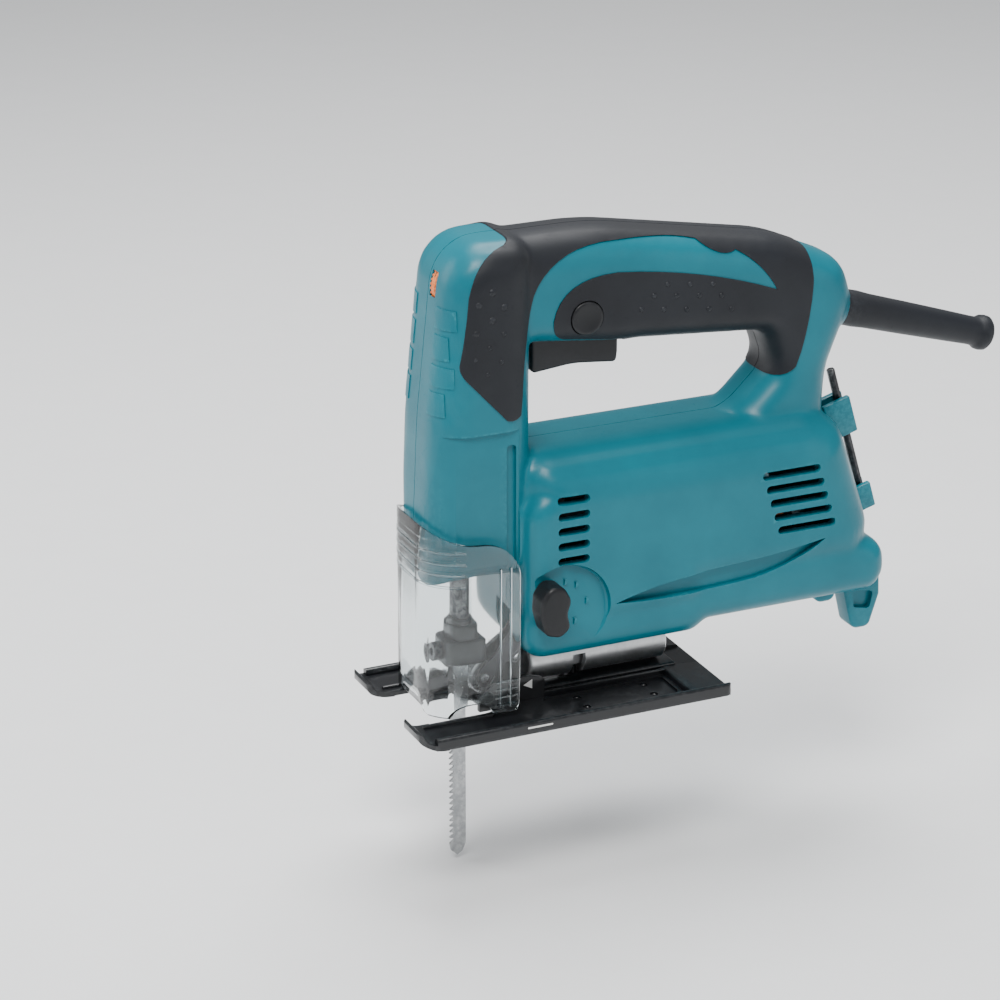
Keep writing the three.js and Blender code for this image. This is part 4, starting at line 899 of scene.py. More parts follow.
@dataclass
class Housing:
    """The two teal halves, with vents, recesses, clips for the key and all openings."""

    form: HousingForm
    vent_height: float = 3.4
    vent_pitch: float = 6.2
    vent_count: int = 5
    pocket_place: Point = (-3.8, 45.0)
    pocket_radius: float = 19.8
    panel_top: float = 121.0
    panel_depth: float = 1.5
    pad_height: float = 0.35
    pads: tuple[tuple[float, float, float], ...] = (
        (-44.2, 161.5, 171.5), (-46.8, 149.6, 161.0), (-45.6, 139.2, 149.2), (-48.8, 127.6, 138.8))

    def vents(self) -> Solid:
        """Rounded slots through both sides."""
        cutters = Solid()
        for row in range(self.vent_count):
            front = 91.5 - row * self.vent_pitch
            rear = 88.0 - row * 6.0
            shift = row * 1.9
            for x0, x1, z in ((-6.5, 7.0, front), (82.5 + shift, 108.5 + shift, rear)):
                slot = rectangle(x0, x1, z - self.vent_height / 2, z + self.vent_height / 2, 1.6)
                cutters.add(Solid.prism(View.SIDE, slot, -36, 36))
        return cutters

    def nose_panel(self) -> Solid:
        """Cuts the lower nose back so that the dust cover can slide on it."""
        half = self.form.nose_half
        depth = self.panel_depth
        shape = rounded([(-66, -30, 0), (-19.4, -30, 0), (-19.4, depth - half, 0),
                         (depth - 56, depth - half, 15), (depth - 56, half - depth, 15),
                         (-19.4, half - depth, 0), (-19.4, 30, 0), (-66, 30, 0)])
        band = Solid.prism(View.PLAN, shape, 50, self.panel_top)
        return band

    def slots(self) -> Solid:
        """Deep guide slots behind the lower nose, one on each side."""
        outline = rectangle(-24.6, -20.6, 62, 115, 1.5)
        slot = Solid.prism(View.SIDE, outline, -29, -19.9)
        return slot.add(slot.mirrored())

    def lever_pocket(self) -> Solid:
        """The round recess behind the orbital lever, deepest at its upper rear edge."""
        x, z = self.pocket_place
        radius = self.pocket_radius
        profile = [(0, 0), (radius - 0.8, 0), (radius, -0.8), (radius + 1.5, -12), (0, -12)]
        disc = Solid.turned(profile, Axis.Y, (0, 0, 0), 96)
        lean = Matrix.Rotation(math.radians(4.0), 4, Vector((-1, 0, 1)))
        return disc.placed(Matrix.Translation((x, -28.2, z)) @ lean)

    def crescent(self) -> Solid:
        """The long shallow scoop under the body's side panel, on both sides."""
        outline = swept_curve((18.5, 45.2), [(45, 42.0, 81, 45.0), (101, 48, 112, 57.5), (95, 54.5, 81, 53.4),
                                            (60, 52.3, 50, 51.2), (34, 49.9, 18.5, 45.2)], 8)
        cutter = Solid.prism(View.SIDE, outline, -34, -26.5)
        return cutter.add(cutter.mirrored())

    def openings(self) -> Solid:
        """Openings for the trigger, slider, roller holder and clamp neck."""
        return Solid().add(
            Solid.prism(View.SIDE, rectangle(-10.2, 29.8, 141, 154, 1.5), -8.8, 8.8),
            Solid.prism(View.PLAN, rectangle(-43, -29, -6, 6, 3), 50, 70),
            Solid.prism(View.PLAN, rectangle(-36, -1.5, -8.6, 8.6, 2), 14, 40),
            Solid.prism(View.PLAN, rectangle(-0.5, 50, -6.6, 6.6, 1), 14, 30),
        )

    def dial_window(self) -> Solid:
        """The curved slot through which the dial shows."""
        low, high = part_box("speed_dial")
        x = (low[0] + high[0] - 2 * ORIGIN_X) / 2 / MM
        z = (low[2] + high[2]) / 2 / MM
        return Solid.rod(Axis.Y, Controls.dial_radius + 0.6, -6.6, -1.4, (x, 0, z), 0.2, 72)

    def button_well(self) -> Solid:
        """The round hole for the lock button."""
        return Solid.rod(Axis.Y, 7.3, -22, -11, (11, 0, 160), 0.2, 56)

    def screw_seats(self, skin: bpy.types.Object) -> list[tuple[float, float, float]]:
        """Find where each screw head sits: just under the lowest skin round it, on the right.

        Args:
            skin: The outside form.

        Returns:
            X, Y and Z of each head's outer face.
        """
        body = bmesh.new()
        body.from_mesh(skin.data)
        tree = BVHTree.FromBMesh(body)
        seats = []
        for number in range(1, 9):
            low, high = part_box(f"housing_screw_{number}")
            middle = Vector(((low[0] + high[0]) / 2, 0.06, (low[2] + high[2]) / 2))
            heights = []
            for step in range(8):
                turn = math.tau * step / 8
                rim = middle + Vector((math.cos(turn), 0, math.sin(turn))) * 3.2 * MM
                hit = tree.ray_cast(rim, Vector((0, -1, 0)))[0]
                heights.append(hit.y if hit else high[1])
            seats.append(((middle.x - ORIGIN_X) / MM, min(heights) / MM - 0.5, middle.z / MM))
        body.free()
        return seats

    def screw_wells(self, seats: Sequence[tuple[float, float, float]]) -> Solid:
        """Counterbores for the housing screws."""
        wells = Solid()
        for x, y, z in seats:
            wells.add(Solid.rod(Axis.Y, 3.6, y - 2.4, 40, (x, 0, z), 0.2, 40))
        return wells

    def screws(self, seats: Sequence[tuple[float, float, float]]) -> bpy.types.Object:
        """Rounded screw heads with a cross recess, and their shanks."""
        heads = Solid()
        for x, y, z in seats:
            profile = [(0, 0.0), (1.5, 0.05), (2.6, 0.45), (3.1, 1.1), (3.1, 2.2), (1.5, 2.2), (1.5, y + 8),
                       (0, y + 8)]
            heads.add(Solid.turned([(r, y - d) for r, d in profile], Axis.Y, (x, 0, z), 40))
        piece = heads.to_object("case_screws")
        recess = Solid()
        for x, y, z in seats:
            recess.add(Solid.box(x - 1.7, x + 1.7, y - 1.3, y + 1, z - 0.38, z + 0.38),
                       Solid.box(x - 0.38, x + 0.38, y - 1.3, y + 1, z - 1.7, z + 1.7))
        combine(piece, recess, overlapping=True)
        return piece

    def guard_bore(self) -> Solid:
        """The slanted hole for the cord guard."""
        return Solid.rod(Axis.Z, 7.9, -24, 30, (0, 0, 0), 0.2, 48).placed(CordGuard().place())

    def shingles(self, skin: bpy.types.Object) -> bpy.types.Object:
        """The stepped pads round the nose's front corner, each standing a little proud.

        Args:
            skin: The outside form.

        Returns:
            The pads as one object.
        """
        pads = copy_of(skin, "nose_pads", self.pad_height)
        region = Solid()
        for rear, low, high in self.pads:
            shape = [(-70, low - 1.5), (rear, low + 1.2), (rear, high - 1.2), (-70, high - 1.5)]
            for side in (-1, 1):
                block = Solid.prism(View.SIDE, shape, *sorted((side * 9.0, side * 34.0)))
                region.add(block)
        combine(pads, region, "INTERSECT", True)
        return pads

    def clips(self) -> Solid:
        """The two cheeks and the hook that hold the hex key on the back."""
        along = Vector((146 - 128.5, 57.5 - 117)).normalized()
        across = Vector((-along.y, along.x))

        def cheek(start: float, end: float, back: float, proud: float) -> list[Point]:
            spots = [(start, -back), (end, -back), (end, proud), (start, proud)]
            return [(128.5 + along.x * s + across.x * a, 117 + along.y * s + across.y * a) for s, a in spots]

        blocks = Solid()
        for side in (-1, 1):
            y0, y1 = sorted((side * 2.1, side * 4.8))
            for start, end, back, proud in ((12.5, 28.5, 9, 3.4), (53, 64, 13, 3.2)):
                blocks.add(Solid.prism(View.SIDE, cheek(start, end, back, proud), y0, y1).bevelled(0.6, 2))
        return blocks

    def foot(self) -> Solid:
        """The foot under the rear end, hollow from the front, on both sides of the seam."""
        outline = rounded([(126, 33, 0), (131.5, 10, 3.5), (139.5, 10, 3.5), (144, 24, 4), (143.5, 36, 0),
                           (126, 36, 0)])
        scoop = rounded([(131.5, 20, 1.5), (139, 18.5, 1.5), (140.5, 26, 1.5), (131, 27.5, 1.5)])
        block = Solid.prism(View.SIDE, outline, -20.6, -9).bevelled(1.8, 4)
        piece = block.to_object("foot")
        combine(piece, Solid.prism(View.SIDE, scoop, -30, -18.4))
        block = Solid()
        block.mesh.from_mesh(piece.data)
        bpy.data.objects.remove(piece)
        block.mesh.transform(TO_FRAME.inverted())
        return block.add(block.mirrored())

    def halves(self, skin: bpy.types.Object,
               seats: Sequence[tuple[float, float, float]]) -> list[bpy.types.Object]:
        """Cut the hollow housing and part it at the seam.

        Args:
            skin: The outside form. It is used up.
            seats: Where the screw heads sit.

        Returns:
            The left and the right half.
        """
        pads = self.shingles(skin)
        combine(skin, self.crescent())
        combine(skin, self.lever_pocket())
        combine(skin, self.nose_panel())
        combine(skin, self.slots())
        cavity = self.form.skin("cavity", WALL)
        hollow = Solid()
        hollow.mesh.from_mesh(cavity.data)
        hollow.mesh.transform(TO_FRAME.inverted())
        bpy.data.objects.remove(cavity)
        combine(skin, hollow)
        for tool in (self.vents(), self.openings(), self.dial_window(), self.button_well(),
                     self.screw_wells(seats),
                     self.guard_bore()):
            combine(skin, tool)
        extras = merged("extras", [self.clips().add(self.foot()).to_object("clips"), pads])
        sides = []
        for name, y0, y1 in (("housing_shell_left", -60, -SEAM / 2), ("housing_shell_right", SEAM / 2, 60)):
            shell = copy_of(skin, name + "_shell")
            trim = copy_of(extras, name + "_trim")
            combine(shell, Solid.box(-100, 200, y0, y1, -100, 260), "INTERSECT")
            combine(trim, Solid.box(-100, 200, y0, y1, -100, 260), "INTERSECT", True)
            sides.append(merged(name, [shell, trim]))
        bpy.data.objects.remove(extras)
        bpy.data.objects.remove(skin)
        return sides


@dataclass
class Grips:
    """The soft black overmould: nose pads, handle top and the lower handle panels."""

    proud: float = 0.45
    nose_bumps: tuple[Point, ...] = (
        (-31.2, 177.7), (-26.3, 171.3), (-36.3, 173.1), (-31.4, 166.7), (-26.7, 160.8), (-37.4, 162.1),
        (-32.5, 156.0), (-38.0, 151.8), (-27.6, 149.8), (-33.2, 145.6))
    panel_rows: tuple[tuple[float, float, int], ...] = ((45.2, 169.1, 3), (39.4, 165.2, 4), (34.0, 160.4, 5))

    def region(self) -> list[Point]:
        """Side-view outline of the overmould, with the teal swoosh left out of it."""
        return swept_curve((-25, 125.6), [
            (-21.5, 124.4, -18.6, 126.6), (-17.8, 134), (-17.2, 153, -11.5, 172), (-5, 188.0, 18, 188.6),
            (46, 188.2, 60, 184.0), (64, 180.0, 69, 178.2), (73, 177.0, 76, 178.4), (87, 172, 93.5, 160.5),
            (60, 173.5, 24, 176.5), (0, 176.8, -3, 160), (-3, 153.0, 3, 151.6), (30, 147.6), (36, 132),
            (87, 124.5), (97, 120.5, 103, 127), (112, 152, 109.5, 186), (109, 206), (-16.5, 206),
            (-15.5, 193.5, -25, 192.4), (-37, 190.5, -40, 176), (-41.5, 160, -43.6, 150),
            (-44.3, 147, -41.5, 143.5),
        ], 8)

    def bumps(self) -> Solid:
        """Raised dots on the nose pads and the handle panels, on both sides."""
        dots = Solid()
        for x, z in self.nose_bumps:
            big = 1.75 if z > 161.5 else 1.2
            dots.add(Solid.dome((x, -22.7 if x > -36 else -22.1, z), (big, 1.25, big)))
        for x0, z0, count in self.panel_rows:
            for step in range(count):
                dots.add(Solid.dome((x0 + step * 9.8, -17.0, z0 - step * 1.25), (1.2, 1.0, 1.2)))
        return dots.add(dots.mirrored())

    def build(self, skin: bpy.types.Object, wells: Solid) -> list[bpy.types.Object]:
        """Make both grips.

        Args:
            skin: The outside form.
            wells: Counterbores for the housing screws. They are used up.

        Returns:
            The left and the right grip.
        """
        whole = copy_of(skin, "overmould", self.proud)
        combine(whole, Solid.prism(View.SIDE, self.region(), -40, 40), "INTERSECT")
        combine(whole, Solid.prism(View.SIDE, rectangle(-10.2, 29.8, 138, 154, 1.5), -8.8, 8.8))
        well = Solid.rod(Axis.Y, 7.0, -24, -11, (11, 0, 160), 0.2, 56)
        combine(whole, well)
        combine(whole, wells)
        dots = self.bumps().to_object("dots")
        sides = []
        for name, y0, y1 in (("soft_grip_left", -60, -SEAM / 2), ("soft_grip_right", SEAM / 2, 60)):
            shell = copy_of(whole, name + "_shell")
            trim = copy_of(dots, name + "_trim")
            combine(shell, Solid.box(-100, 200, y0, y1, -100, 260), "INTERSECT")
            combine(trim, Solid.box(-100, 200, y0, y1, -100, 260), "INTERSECT")
            sides.append(merged(name, [shell, trim]))
        bpy.data.objects.remove(dots)
        bpy.data.objects.remove(whole)
        return sides


# ---------------------------------------------------------------------------- cord guard


@dataclass
class CordGuard:
    """The tapered rubber sleeve that the cord would leave through."""

    start: Point = (136.0, 142.0)
    slope: float = 17.0
    length: float = 68.0
    bore: float = 3.7

    def place(self) -> Matrix:
        """Carries a solid built along +Z onto the guard's axis."""
        return (Matrix.Translation((self.start[0], 0, self.start[1]))
                @ Matrix.Rotation(math.radians(90 + self.slope), 4, "Y"))

    def build(self) -> bpy.types.Object:
        """Turn the sleeve with its rolled lip and an open bore."""
        end = self.length
        profile = [(self.bore, -6), (7.2, -6), (7.4, 2), (7.0, 8), (6.7, 26), (6.2, 48), (5.9, end - 9),
                   (5.95, end - 6.5), (6.4, end - 5.2), (7.1, end - 4.0), (7.3, end - 2.4), (7.15, end - 0.9),
                   (6.5, end - 0.1), (5.2, end), (4.4, end - 0.2), (self.bore + 0.1, end - 0.9),
                   (self.bore, end - 2)]
        return Solid.turned(profile, Axis.Z, (0, 0, 0), 72).placed(self.place()).to_object("cord_sleeve", 50)


# ---------------------------------------------------------------------------- controls


@dataclass
class Controls:
    """Trigger, lock button, speed dial and orbital lever."""

    dial_numbers: int = 5
    dial_radius: float = 12.2

    def trigger(self) -> bpy.types.Object:
        """The trigger with a hollowed lower face and its pivot."""
        outline = rounded([(-8, 137.0, 2), (10, 138.8, 40), (28.4, 136.9, 1.6), (29, 141, 1.5),
                           (29, 154.0, 2),
                           (-8, 154.6, 2)])
        block = Solid.prism(View.SIDE, outline, -8, 8).bevelled(1.3, 4, 40)
        block.add(Solid.rod(Axis.Y, 2.3, -10.8, 10.8, (25, 0, 150.5), 0.3, 32))
        return block.to_object("trigger_lever")

    def button(self) -> bpy.types.Object:
        """The lock button, slightly dished, with a raised rim."""
        profile = [(0, 0.45), (4.6, 0.25), (5.5, 0.0), (6.2, 0.1), (6.6, 0.5), (6.6, 5.0), (8.0, 5.0),
                   (8.0, 6.0),
                   (0, 6.0)]
        return Solid.turned(profile, Axis.Y, (11, -18.3, 160), 64).to_object("lock_cap", 40)

    def dial(self) -> tuple[bpy.types.Object, bpy.types.Object]:
        """The thumb wheel with grip notches round its rim, and its printed numbers."""
        low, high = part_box("speed_dial")
        x = (low[0] + high[0] - 2 * ORIGIN_X) / 2 / MM
        z = (low[2] + high[2]) / 2 / MM
        radius = self.dial_radius
        profile = [(2.2, -2), (radius - 0.5, -2), (radius, -1.5), (radius, 1.5), (radius - 0.5, 2), (2.2, 2)]
        wheel = Solid.turned(profile, Axis.Y, (x, -4, z), 96)
        notches = 44
        for step in range(notches):
            turn = Matrix.Rotation(math.tau * step / notches, 4, "Y")
            for side in (-1.9, 1.45):
                tooth = Solid.box(-0.35, 0.35, side, side + 0.5, radius - 0.6, radius + 0.18)
                wheel.add(tooth.placed(Matrix.Translation((x, -4, z)) @ turn))
        numbers = Solid()
        for value in range(self.dial_numbers):
            angle = math.radians(-62 + value * 22)
            curve = bpy.data.curves.new("number", "FONT")
            curve.body = str(value + 1)
            curve.size = 3.2
            curve.extrude = 0.06
            curve.align_x = "CENTER"
            curve.align_y = "CENTER"
            holder = bpy.data.objects.new("number", curve)
            bpy.context.scene.collection.objects.link(holder)
            mesh = bpy.data.meshes.new_from_object(holder)
            glyph = Solid()
            glyph.mesh.from_mesh(mesh)
            bpy.data.objects.remove(holder)
            bpy.data.curves.remove(curve)
            bpy.data.meshes.remove(mesh)
            lift = Matrix.Translation((0, 0, radius + 0.02)) @ Matrix.Rotation(math.radians(90), 4, "Z")
            numbers.add(glyph.placed(Matrix.Translation((x, -4, z)) @ Matrix.Rotation(angle, 4, "Y") @ lift))
        return wheel.to_object("dial_wheel"), numbers.to_object("dial_numbers")

    def lever(self) -> bpy.types.Object:
        """The waisted orbital lever: a pinched grip on a round base."""
        low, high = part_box("orbital_lever")
        x = (low[0] + high[0] - 2 * ORIGIN_X) / 2 / MM + 0.45
        outline = rounded([(-7.2, 5.5, 3.5), (-7.6, -1, 8), (-5.4, -9.5, 3.6), (0.8, -11.0, 3.6),
                           (5.2, -7.6, 3.4),
                           (3.6, -1.5, 7), (5.6, 3.8, 5), (2.4, 9.6, 3.8), (-3.6, 10.8, 4)], steps=10)
        grip = [(a + x, b + 50) for a, b in outline]
        knob = Solid.prism(View.SIDE, grip, -39.2, -28.4).bevelled(1.7, 5, 40)
        knob.add(Solid.rod(Axis.Y, 3.2, -30, -25, (-10, 0, 48), 0.3, 40))
        return knob.to_object("orbital_knob", 50)

    def marks(self) -> bpy.types.Object:
        """Small raised half-moons that number the lever's four settings."""
        shapes = Solid()
        for x, z in ((-3.2, 57.4), (1.6, 55.4), (6.1, 48.0), (0.8, 40.6)):
            face = 0.0494 * (x + z - 41.2) - 28.2
            moon = swept_curve((0, 1.3), [(1.5, 1.1, 1.5, 0), (1.5, -1.1, 0, -1.3), (0.9, -0.7, 0.9, 0),
                                          (0.9, 0.7, 0, 1.3)], 6)
            shapes.add(Solid.prism(View.SIDE, [(x + a, z + b) for a, b in moon], face - 0.6, face + 1.0))
        return shapes.to_object("setting_marks")


# ---------------------------------------------------------------------------- dust cover


@dataclass
class DustCover:
    """The clear cover round the lower nose, with ribs, a lower tab and clipped rear edges."""

    front: float = -57.2
    rear: float = -20.0
    half: float = 24.6
    wall: float = 1.6
    bottom: float = 5.0
    corner: float = 18.0

    def plan(self, inset: float, rear: float) -> list[Point]:
        """Plan outline, open towards the rear."""
        return rounded([(self.front, -self.half, self.corner), (rear, -self.half, 0), (rear, self.half, 0),
                        (self.front, self.half, self.corner)], inset, 12)

    def side(self) -> list[Point]:
        """Side outline: low in front of the body, high at the nose, cut away at the foot."""
        return swept_curve((self.front - 2, 16), [
            (-57.0, 14), (-55.2, self.bottom), (-49.0, self.bottom), (-46.5, 10.5, -40, 10.5),
            (-33.5, 10.5, -31.5, self.bottom + 0.4), (-23, self.bottom), (-20.4, self.bottom, -20.2, 9),
            (-19.6, 60), (-20.2, 69, -27.5, 74), (-31, 76.5, -38, 76.8), (-50, 77.6, self.front - 2, 86),
        ], 8)

    def build(self) -> bpy.types.Object:
        """Mould the cover."""
        shell = Solid.prism(View.PLAN, self.plan(0, self.rear), 0, 90).to_object("cover_shell")
        combine(shell, Solid.prism(View.PLAN, self.plan(self.wall, self.rear + 12), -5, 95))
        combine(shell, Solid.prism(View.SIDE, self.side(), -40, 40), "INTERSECT")
        ribs = Solid()
        rings = Solid()
        for low in (60.0, 64.6, 69.2, 73.8):
            rings.add(Solid.prism(View.PLAN, self.plan(-0.3, self.rear), low, low + 0.9,
                                  self.plan(0.6, self.rear - 2)))
        front_ribs = rings.to_object("cover_front_ribs")
        combine(front_ribs, Solid.box(-70, -43, -40, 40, 50, 90), "INTERSECT")
        for low in (8.0, 11.2, 14.4, 17.6):
            for side in (-1, 1):
                y0, y1 = sorted((side * (self.half - 0.3), side * (self.half + 0.35)))
                ribs.add(Solid.box(-30.5, -21.2, y0, y1, low, low + 0.8))
        for x in (-28.9, -24.6):
            for side in (-1, 1):
                y0, y1 = sorted((side * (self.half - 0.4), side * (self.half + 0.45)))
                ribs.add(Solid.box(x, x + 0.9, y0, y1, 7, 66).bevelled(0.25, 2))
        edge = shell.modifiers.new("edges", "BEVEL")
        edge.width = 0.45 * MM
        edge.segments = 3
        edge.limit_method = "ANGLE"
        edge.angle_limit = math.radians(40)
        bake(shell)
        soften(shell, 40)
        return merged("clear_cover", [shell, front_ribs, ribs.to_object("cover_ribs")])


# ---------------------------------------------------------------------------- shoe


@dataclass
class Shoe:
    """The pressed black shoe.

    It has two prongs, rails, turned-up lips, a pocket with holes and the clamp channel.
    """

    half_length: float = SHOE_LENGTH / 2
    half_width: float = 38.0
    plate: float = 2.5
    throat_half: float = 17.0
    throat_end: float = -25.0

    def plan(self) -> list[Point]:
        """Plan outline with the blade throat between two prongs."""
        front, side, throat = -self.half_length, self.half_width, self.throat_half
        return rounded([(front, -side, 8), (-front, -side, 3), (-front, side, 3), (front, side, 8),
                        (front, throat, 3), (self.throat_end, throat, 7), (self.throat_end, -throat, 7),
                        (front, -throat, 3)], steps=8)

    def lips(self) -> Solid:
        """Turned-up front ends of the two prongs."""
        profile = swept_curve((-56, 0),
                              [(-62, 0, -66.2, 2.6), (-67.5, 3.8, -67.4, 6.4), (-66.6, 7.2, -65.8, 6.4),
                                         (-65.4, 3.2, -61, 2.6), (-56, 2.5)], 6)
        lip = Solid.prism(View.SIDE, profile, -self.half_width, -self.throat_half)
        return lip.add(lip.mirrored())

    def rails(self) -> Solid:
        """Rounded rails along both sides and low ribs across and along the plate."""
        side = self.half_width
        rail = Solid.prism(View.FRONT, rounded([(-side, 0, 1.2), (-side + 3.4, 0, 0), (-side + 3.4, 3.4, 1.2),
                                                (-side + 2.6, 5.0, 1.2), (-side, 5.0, 1.4)], steps=5),
                           -61, 66.8)
        rib = Solid.prism(View.SIDE, rounded([(48.5, 2, 0), (66.5, 2, 0), (66.5, 3.4, 1), (53, 4.4, 1),
                                              (49.5, 4.4, 1)]), -35, -9.4)
        inner = Solid.box(-4, 50, -12.6, -11.0, 2, 4.6).bevelled(0.5, 2)
        small = Solid.box(-60, -30, -21.5, -19.9, 2, 3.6).bevelled(0.5, 2)
        one_side = rail.add(rib, inner, small)
        return one_side.add(one_side.mirrored())

    def channel(self) -> Solid:
        """The raised channel that the clamp bolt slides in, and the cradle round the cylinder."""
        roof = Solid.box(-10, 56, -9.5, 9.5, 0.2, 5.2).bevelled(0.8, 3)
        cheek = rounded([(-32.5, 0.8, 0), (-4, 0.8, 0), (-4, 11.0, 2), (-12, 13, 3), (-27, 13, 4),
                         (-32.5, 7.5, 3)], steps=6)
        wall = Solid.prism(View.SIDE, cheek, -13, -10.5).bevelled(0.5, 2, 50)
        screw = Solid.rod(Axis.Y, 2.4, -13.9, -12.6, (-28.2, 0, 8.2), 0.3, 32)
        return roof.add(wall, wall.mirrored(), screw, screw.mirrored())

    def cuts(self) -> Solid:
        """The pocket on each side."""
        tools = Solid()
        pocket = Solid.prism(View.PLAN, rectangle(-6, 47, -31, -14.2, 2.5), 1.7, 3.2)
        tools.add(pocket, pocket.mirrored())
        return tools

    def holes(self) -> Solid:
        """Four drain holes in each pocket and the channel hollow."""
        tools = Solid()
        for x in (8, 37.5):
            for y in (-27, -17.5):
                hole = Solid.rod(Axis.Z, 1.7, 0.8, 4, (x, y, 0), 0.2, 32)
                tools.add(hole, hole.mirrored())
        return tools.add(Solid.prism(View.PLAN, rectangle(-8, 54, -7.5, 7.5, 1.5), -1, 3.2))

    def trough(self) -> Solid:
        """The round hollow that the silver cylinder lies in."""
        return Solid.rod(Axis.X, 9.35, -40, 60, (0, 0, 14.5), 0.2, 72)

    def build(self) -> list[bpy.types.Object]:
        """Press the shoe and print its marks.

        Returns:
            The shoe and its printed marks.
        """
        plate = Solid.prism(View.PLAN, self.plan(), 0,
                            self.plate).bevelled(0.6, 3, 50).to_object("shoe_plate")
        combine(plate, Solid.box(-80, -59, -60, 60, -1, 4))
        keep = Solid.prism(View.PLAN, self.plan(), -1, 20)
        edging = self.lips().to_object("shoe_edging")
        combine(edging, self.rails(), "UNION", True)
        combine(edging, keep, "INTERSECT")
        rest = self.channel().to_object("shoe_channel")
        combine(rest, self.trough())
        whole = merged("shoe", [plate, edging, rest])
        combine(whole, self.cuts(), overlapping=True)
        combine(whole, self.holes(), overlapping=True)
        combine(whole, Solid.prism(View.PLAN, rectangle(-1.8, 15.8, -2.8, 2.8, 2.7), -1, 8), overlapping=True)
        line = Solid.prism(View.SIDE, rectangle(-22.9, -12.2, 2.6, 3.3, 0.2), -38.05, -37.9)
        pointer = Solid.prism(View.SIDE, [(-13.4, 9.2), (-9.6, 7.2), (-9.6, 11.2)], -13.06, -12.9)
        marks = line.add(line.mirrored(), pointer, pointer.mirrored())
        return [whole, marks.to_object("shoe_marks")]


@dataclass
class TiltCylinder:
    """The silver cylinder that the shoe tilts round, with its clamp slot and neck."""

    height: float = 14.5
    radius: float = 9.0
    bore: float = 6.4
    start: float = -8.0
    end: float = 52.0

    def build(self) -> bpy.types.Object:
        """Turn the cylinder, cut its slot and add the neck."""
        profile = [(self.bore, self.start), (self.radius - 0.5, self.start), (self.radius, self.start + 0.5),
                   (self.radius, self.end - 0.5), (self.radius - 0.5, self.end), (self.bore, self.end)]
        tube = Solid.turned(profile, Axis.X, (0, 0, self.height), 96).to_object("tilt_sleeve")
        slot = rounded([(10.2, -30, 2.7), (15.8, -30, 2.7), (15.8, 30, 2.7), (10.2, 30, 2.7)])
        combine(tube, Solid.prism(View.PLAN, slot, 0, self.height + 1.8))
        neck = Solid.prism(View.FRONT, rounded([(-6, 21.2, 0), (6, 21.2, 0), (6, 26.8, 0.4), (12, 26.8, 0.4),
                                                (12, 29.8, 0.6), (-12, 29.8, 0.6), (-12, 26.8, 0.4),
                                                (-6, 26.8, 0.4)]),
                           -5, 49)
        return merged("tilt_sleeve", [tube, neck.to_object("neck")])


@dataclass
class Cutting:
    """Blade and its clamp."""

    back: float = -33.0
    width: float = 7.0
    tip: float = -66.5
    pitch: float = 2.5
    depth: float = 2.0

    def blade(self) -> bpy.types.Object:
        """The saw blade: set teeth along the front, a pointed tip and a shank."""
        front = self.back - self.width
        outline: list[Point] = [(front, 32), (front, -1)]
        count = int((-1 - self.tip - 4) / self.pitch)
        for tooth in range(count):
            top = -1 - tooth * self.pitch
            outline += [(front + self.depth, top - 0.35), (front + self.depth - 0.3, top - 1.1),
                        (front + 0.02, top - self.pitch + 0.1)]
        outline += [(front + 0.6, self.tip + 2.4), (front + 3.2, self.tip), (self.back - 1.6, self.tip + 1.4),
                    (self.back, self.tip + 5), (self.back, 32)]
        blade = Solid.prism(View.SIDE, outline, -0.55, 0.55)
        for vert in blade.mesh.verts:
            if vert.co.x < front + 0.1 and vert.co.z < -2:
                side = 1 if int(-vert.co.z / self.pitch) % 2 else -1
                vert.co.y += 0.05 * side
        return blade.to_object("blade")

    def clamp(self) -> bpy.types.Object:
        """The blade clamp: a stepped block with rounded edges, a collar and a round cap."""
        low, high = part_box("blade_clamp")
        x0, x1 = (low[0] - ORIGIN_X) / MM, (high[0] - ORIGIN_X) / MM
        z0, z1 = low[2] / MM, high[2] / MM
        y = high[1] / MM
        block = Solid.prism(View.PLAN, rectangle(x0, x1, -y, y, 2.2, 6), z0, z0 + 9.5).bevelled(0.9, 3, 60)
        collar = Solid.prism(View.PLAN, rectangle(x0 + 2.2, x1 - 2.2, 1 - y, y - 1, 3.4, 6), z0 + 9, z1 - 2)
        cap = Solid.turned([(0, z1 - 2.5), (5.4, z1 - 2.5), (5.4, z1 - 0.6), (4.9, z1), (0, z1)], Axis.Z,
                           (-36, 0, 0), 48)
        block.add(collar.bevelled(0.9, 3, 60), cap)
        piece = block.to_object("clamp_block")
        combine(piece, Solid.box(-40.3, -32.7, -0.9, 0.9, z0 - 1, 32.3), overlapping=True)
        combine(piece, Solid.rod(Axis.X, 2.3, x0 - 1, -40, (0, 0, z0 + 5), 0.1, 32), overlapping=True)
        return piece


# ---------------------------------------------------------------------------- scene


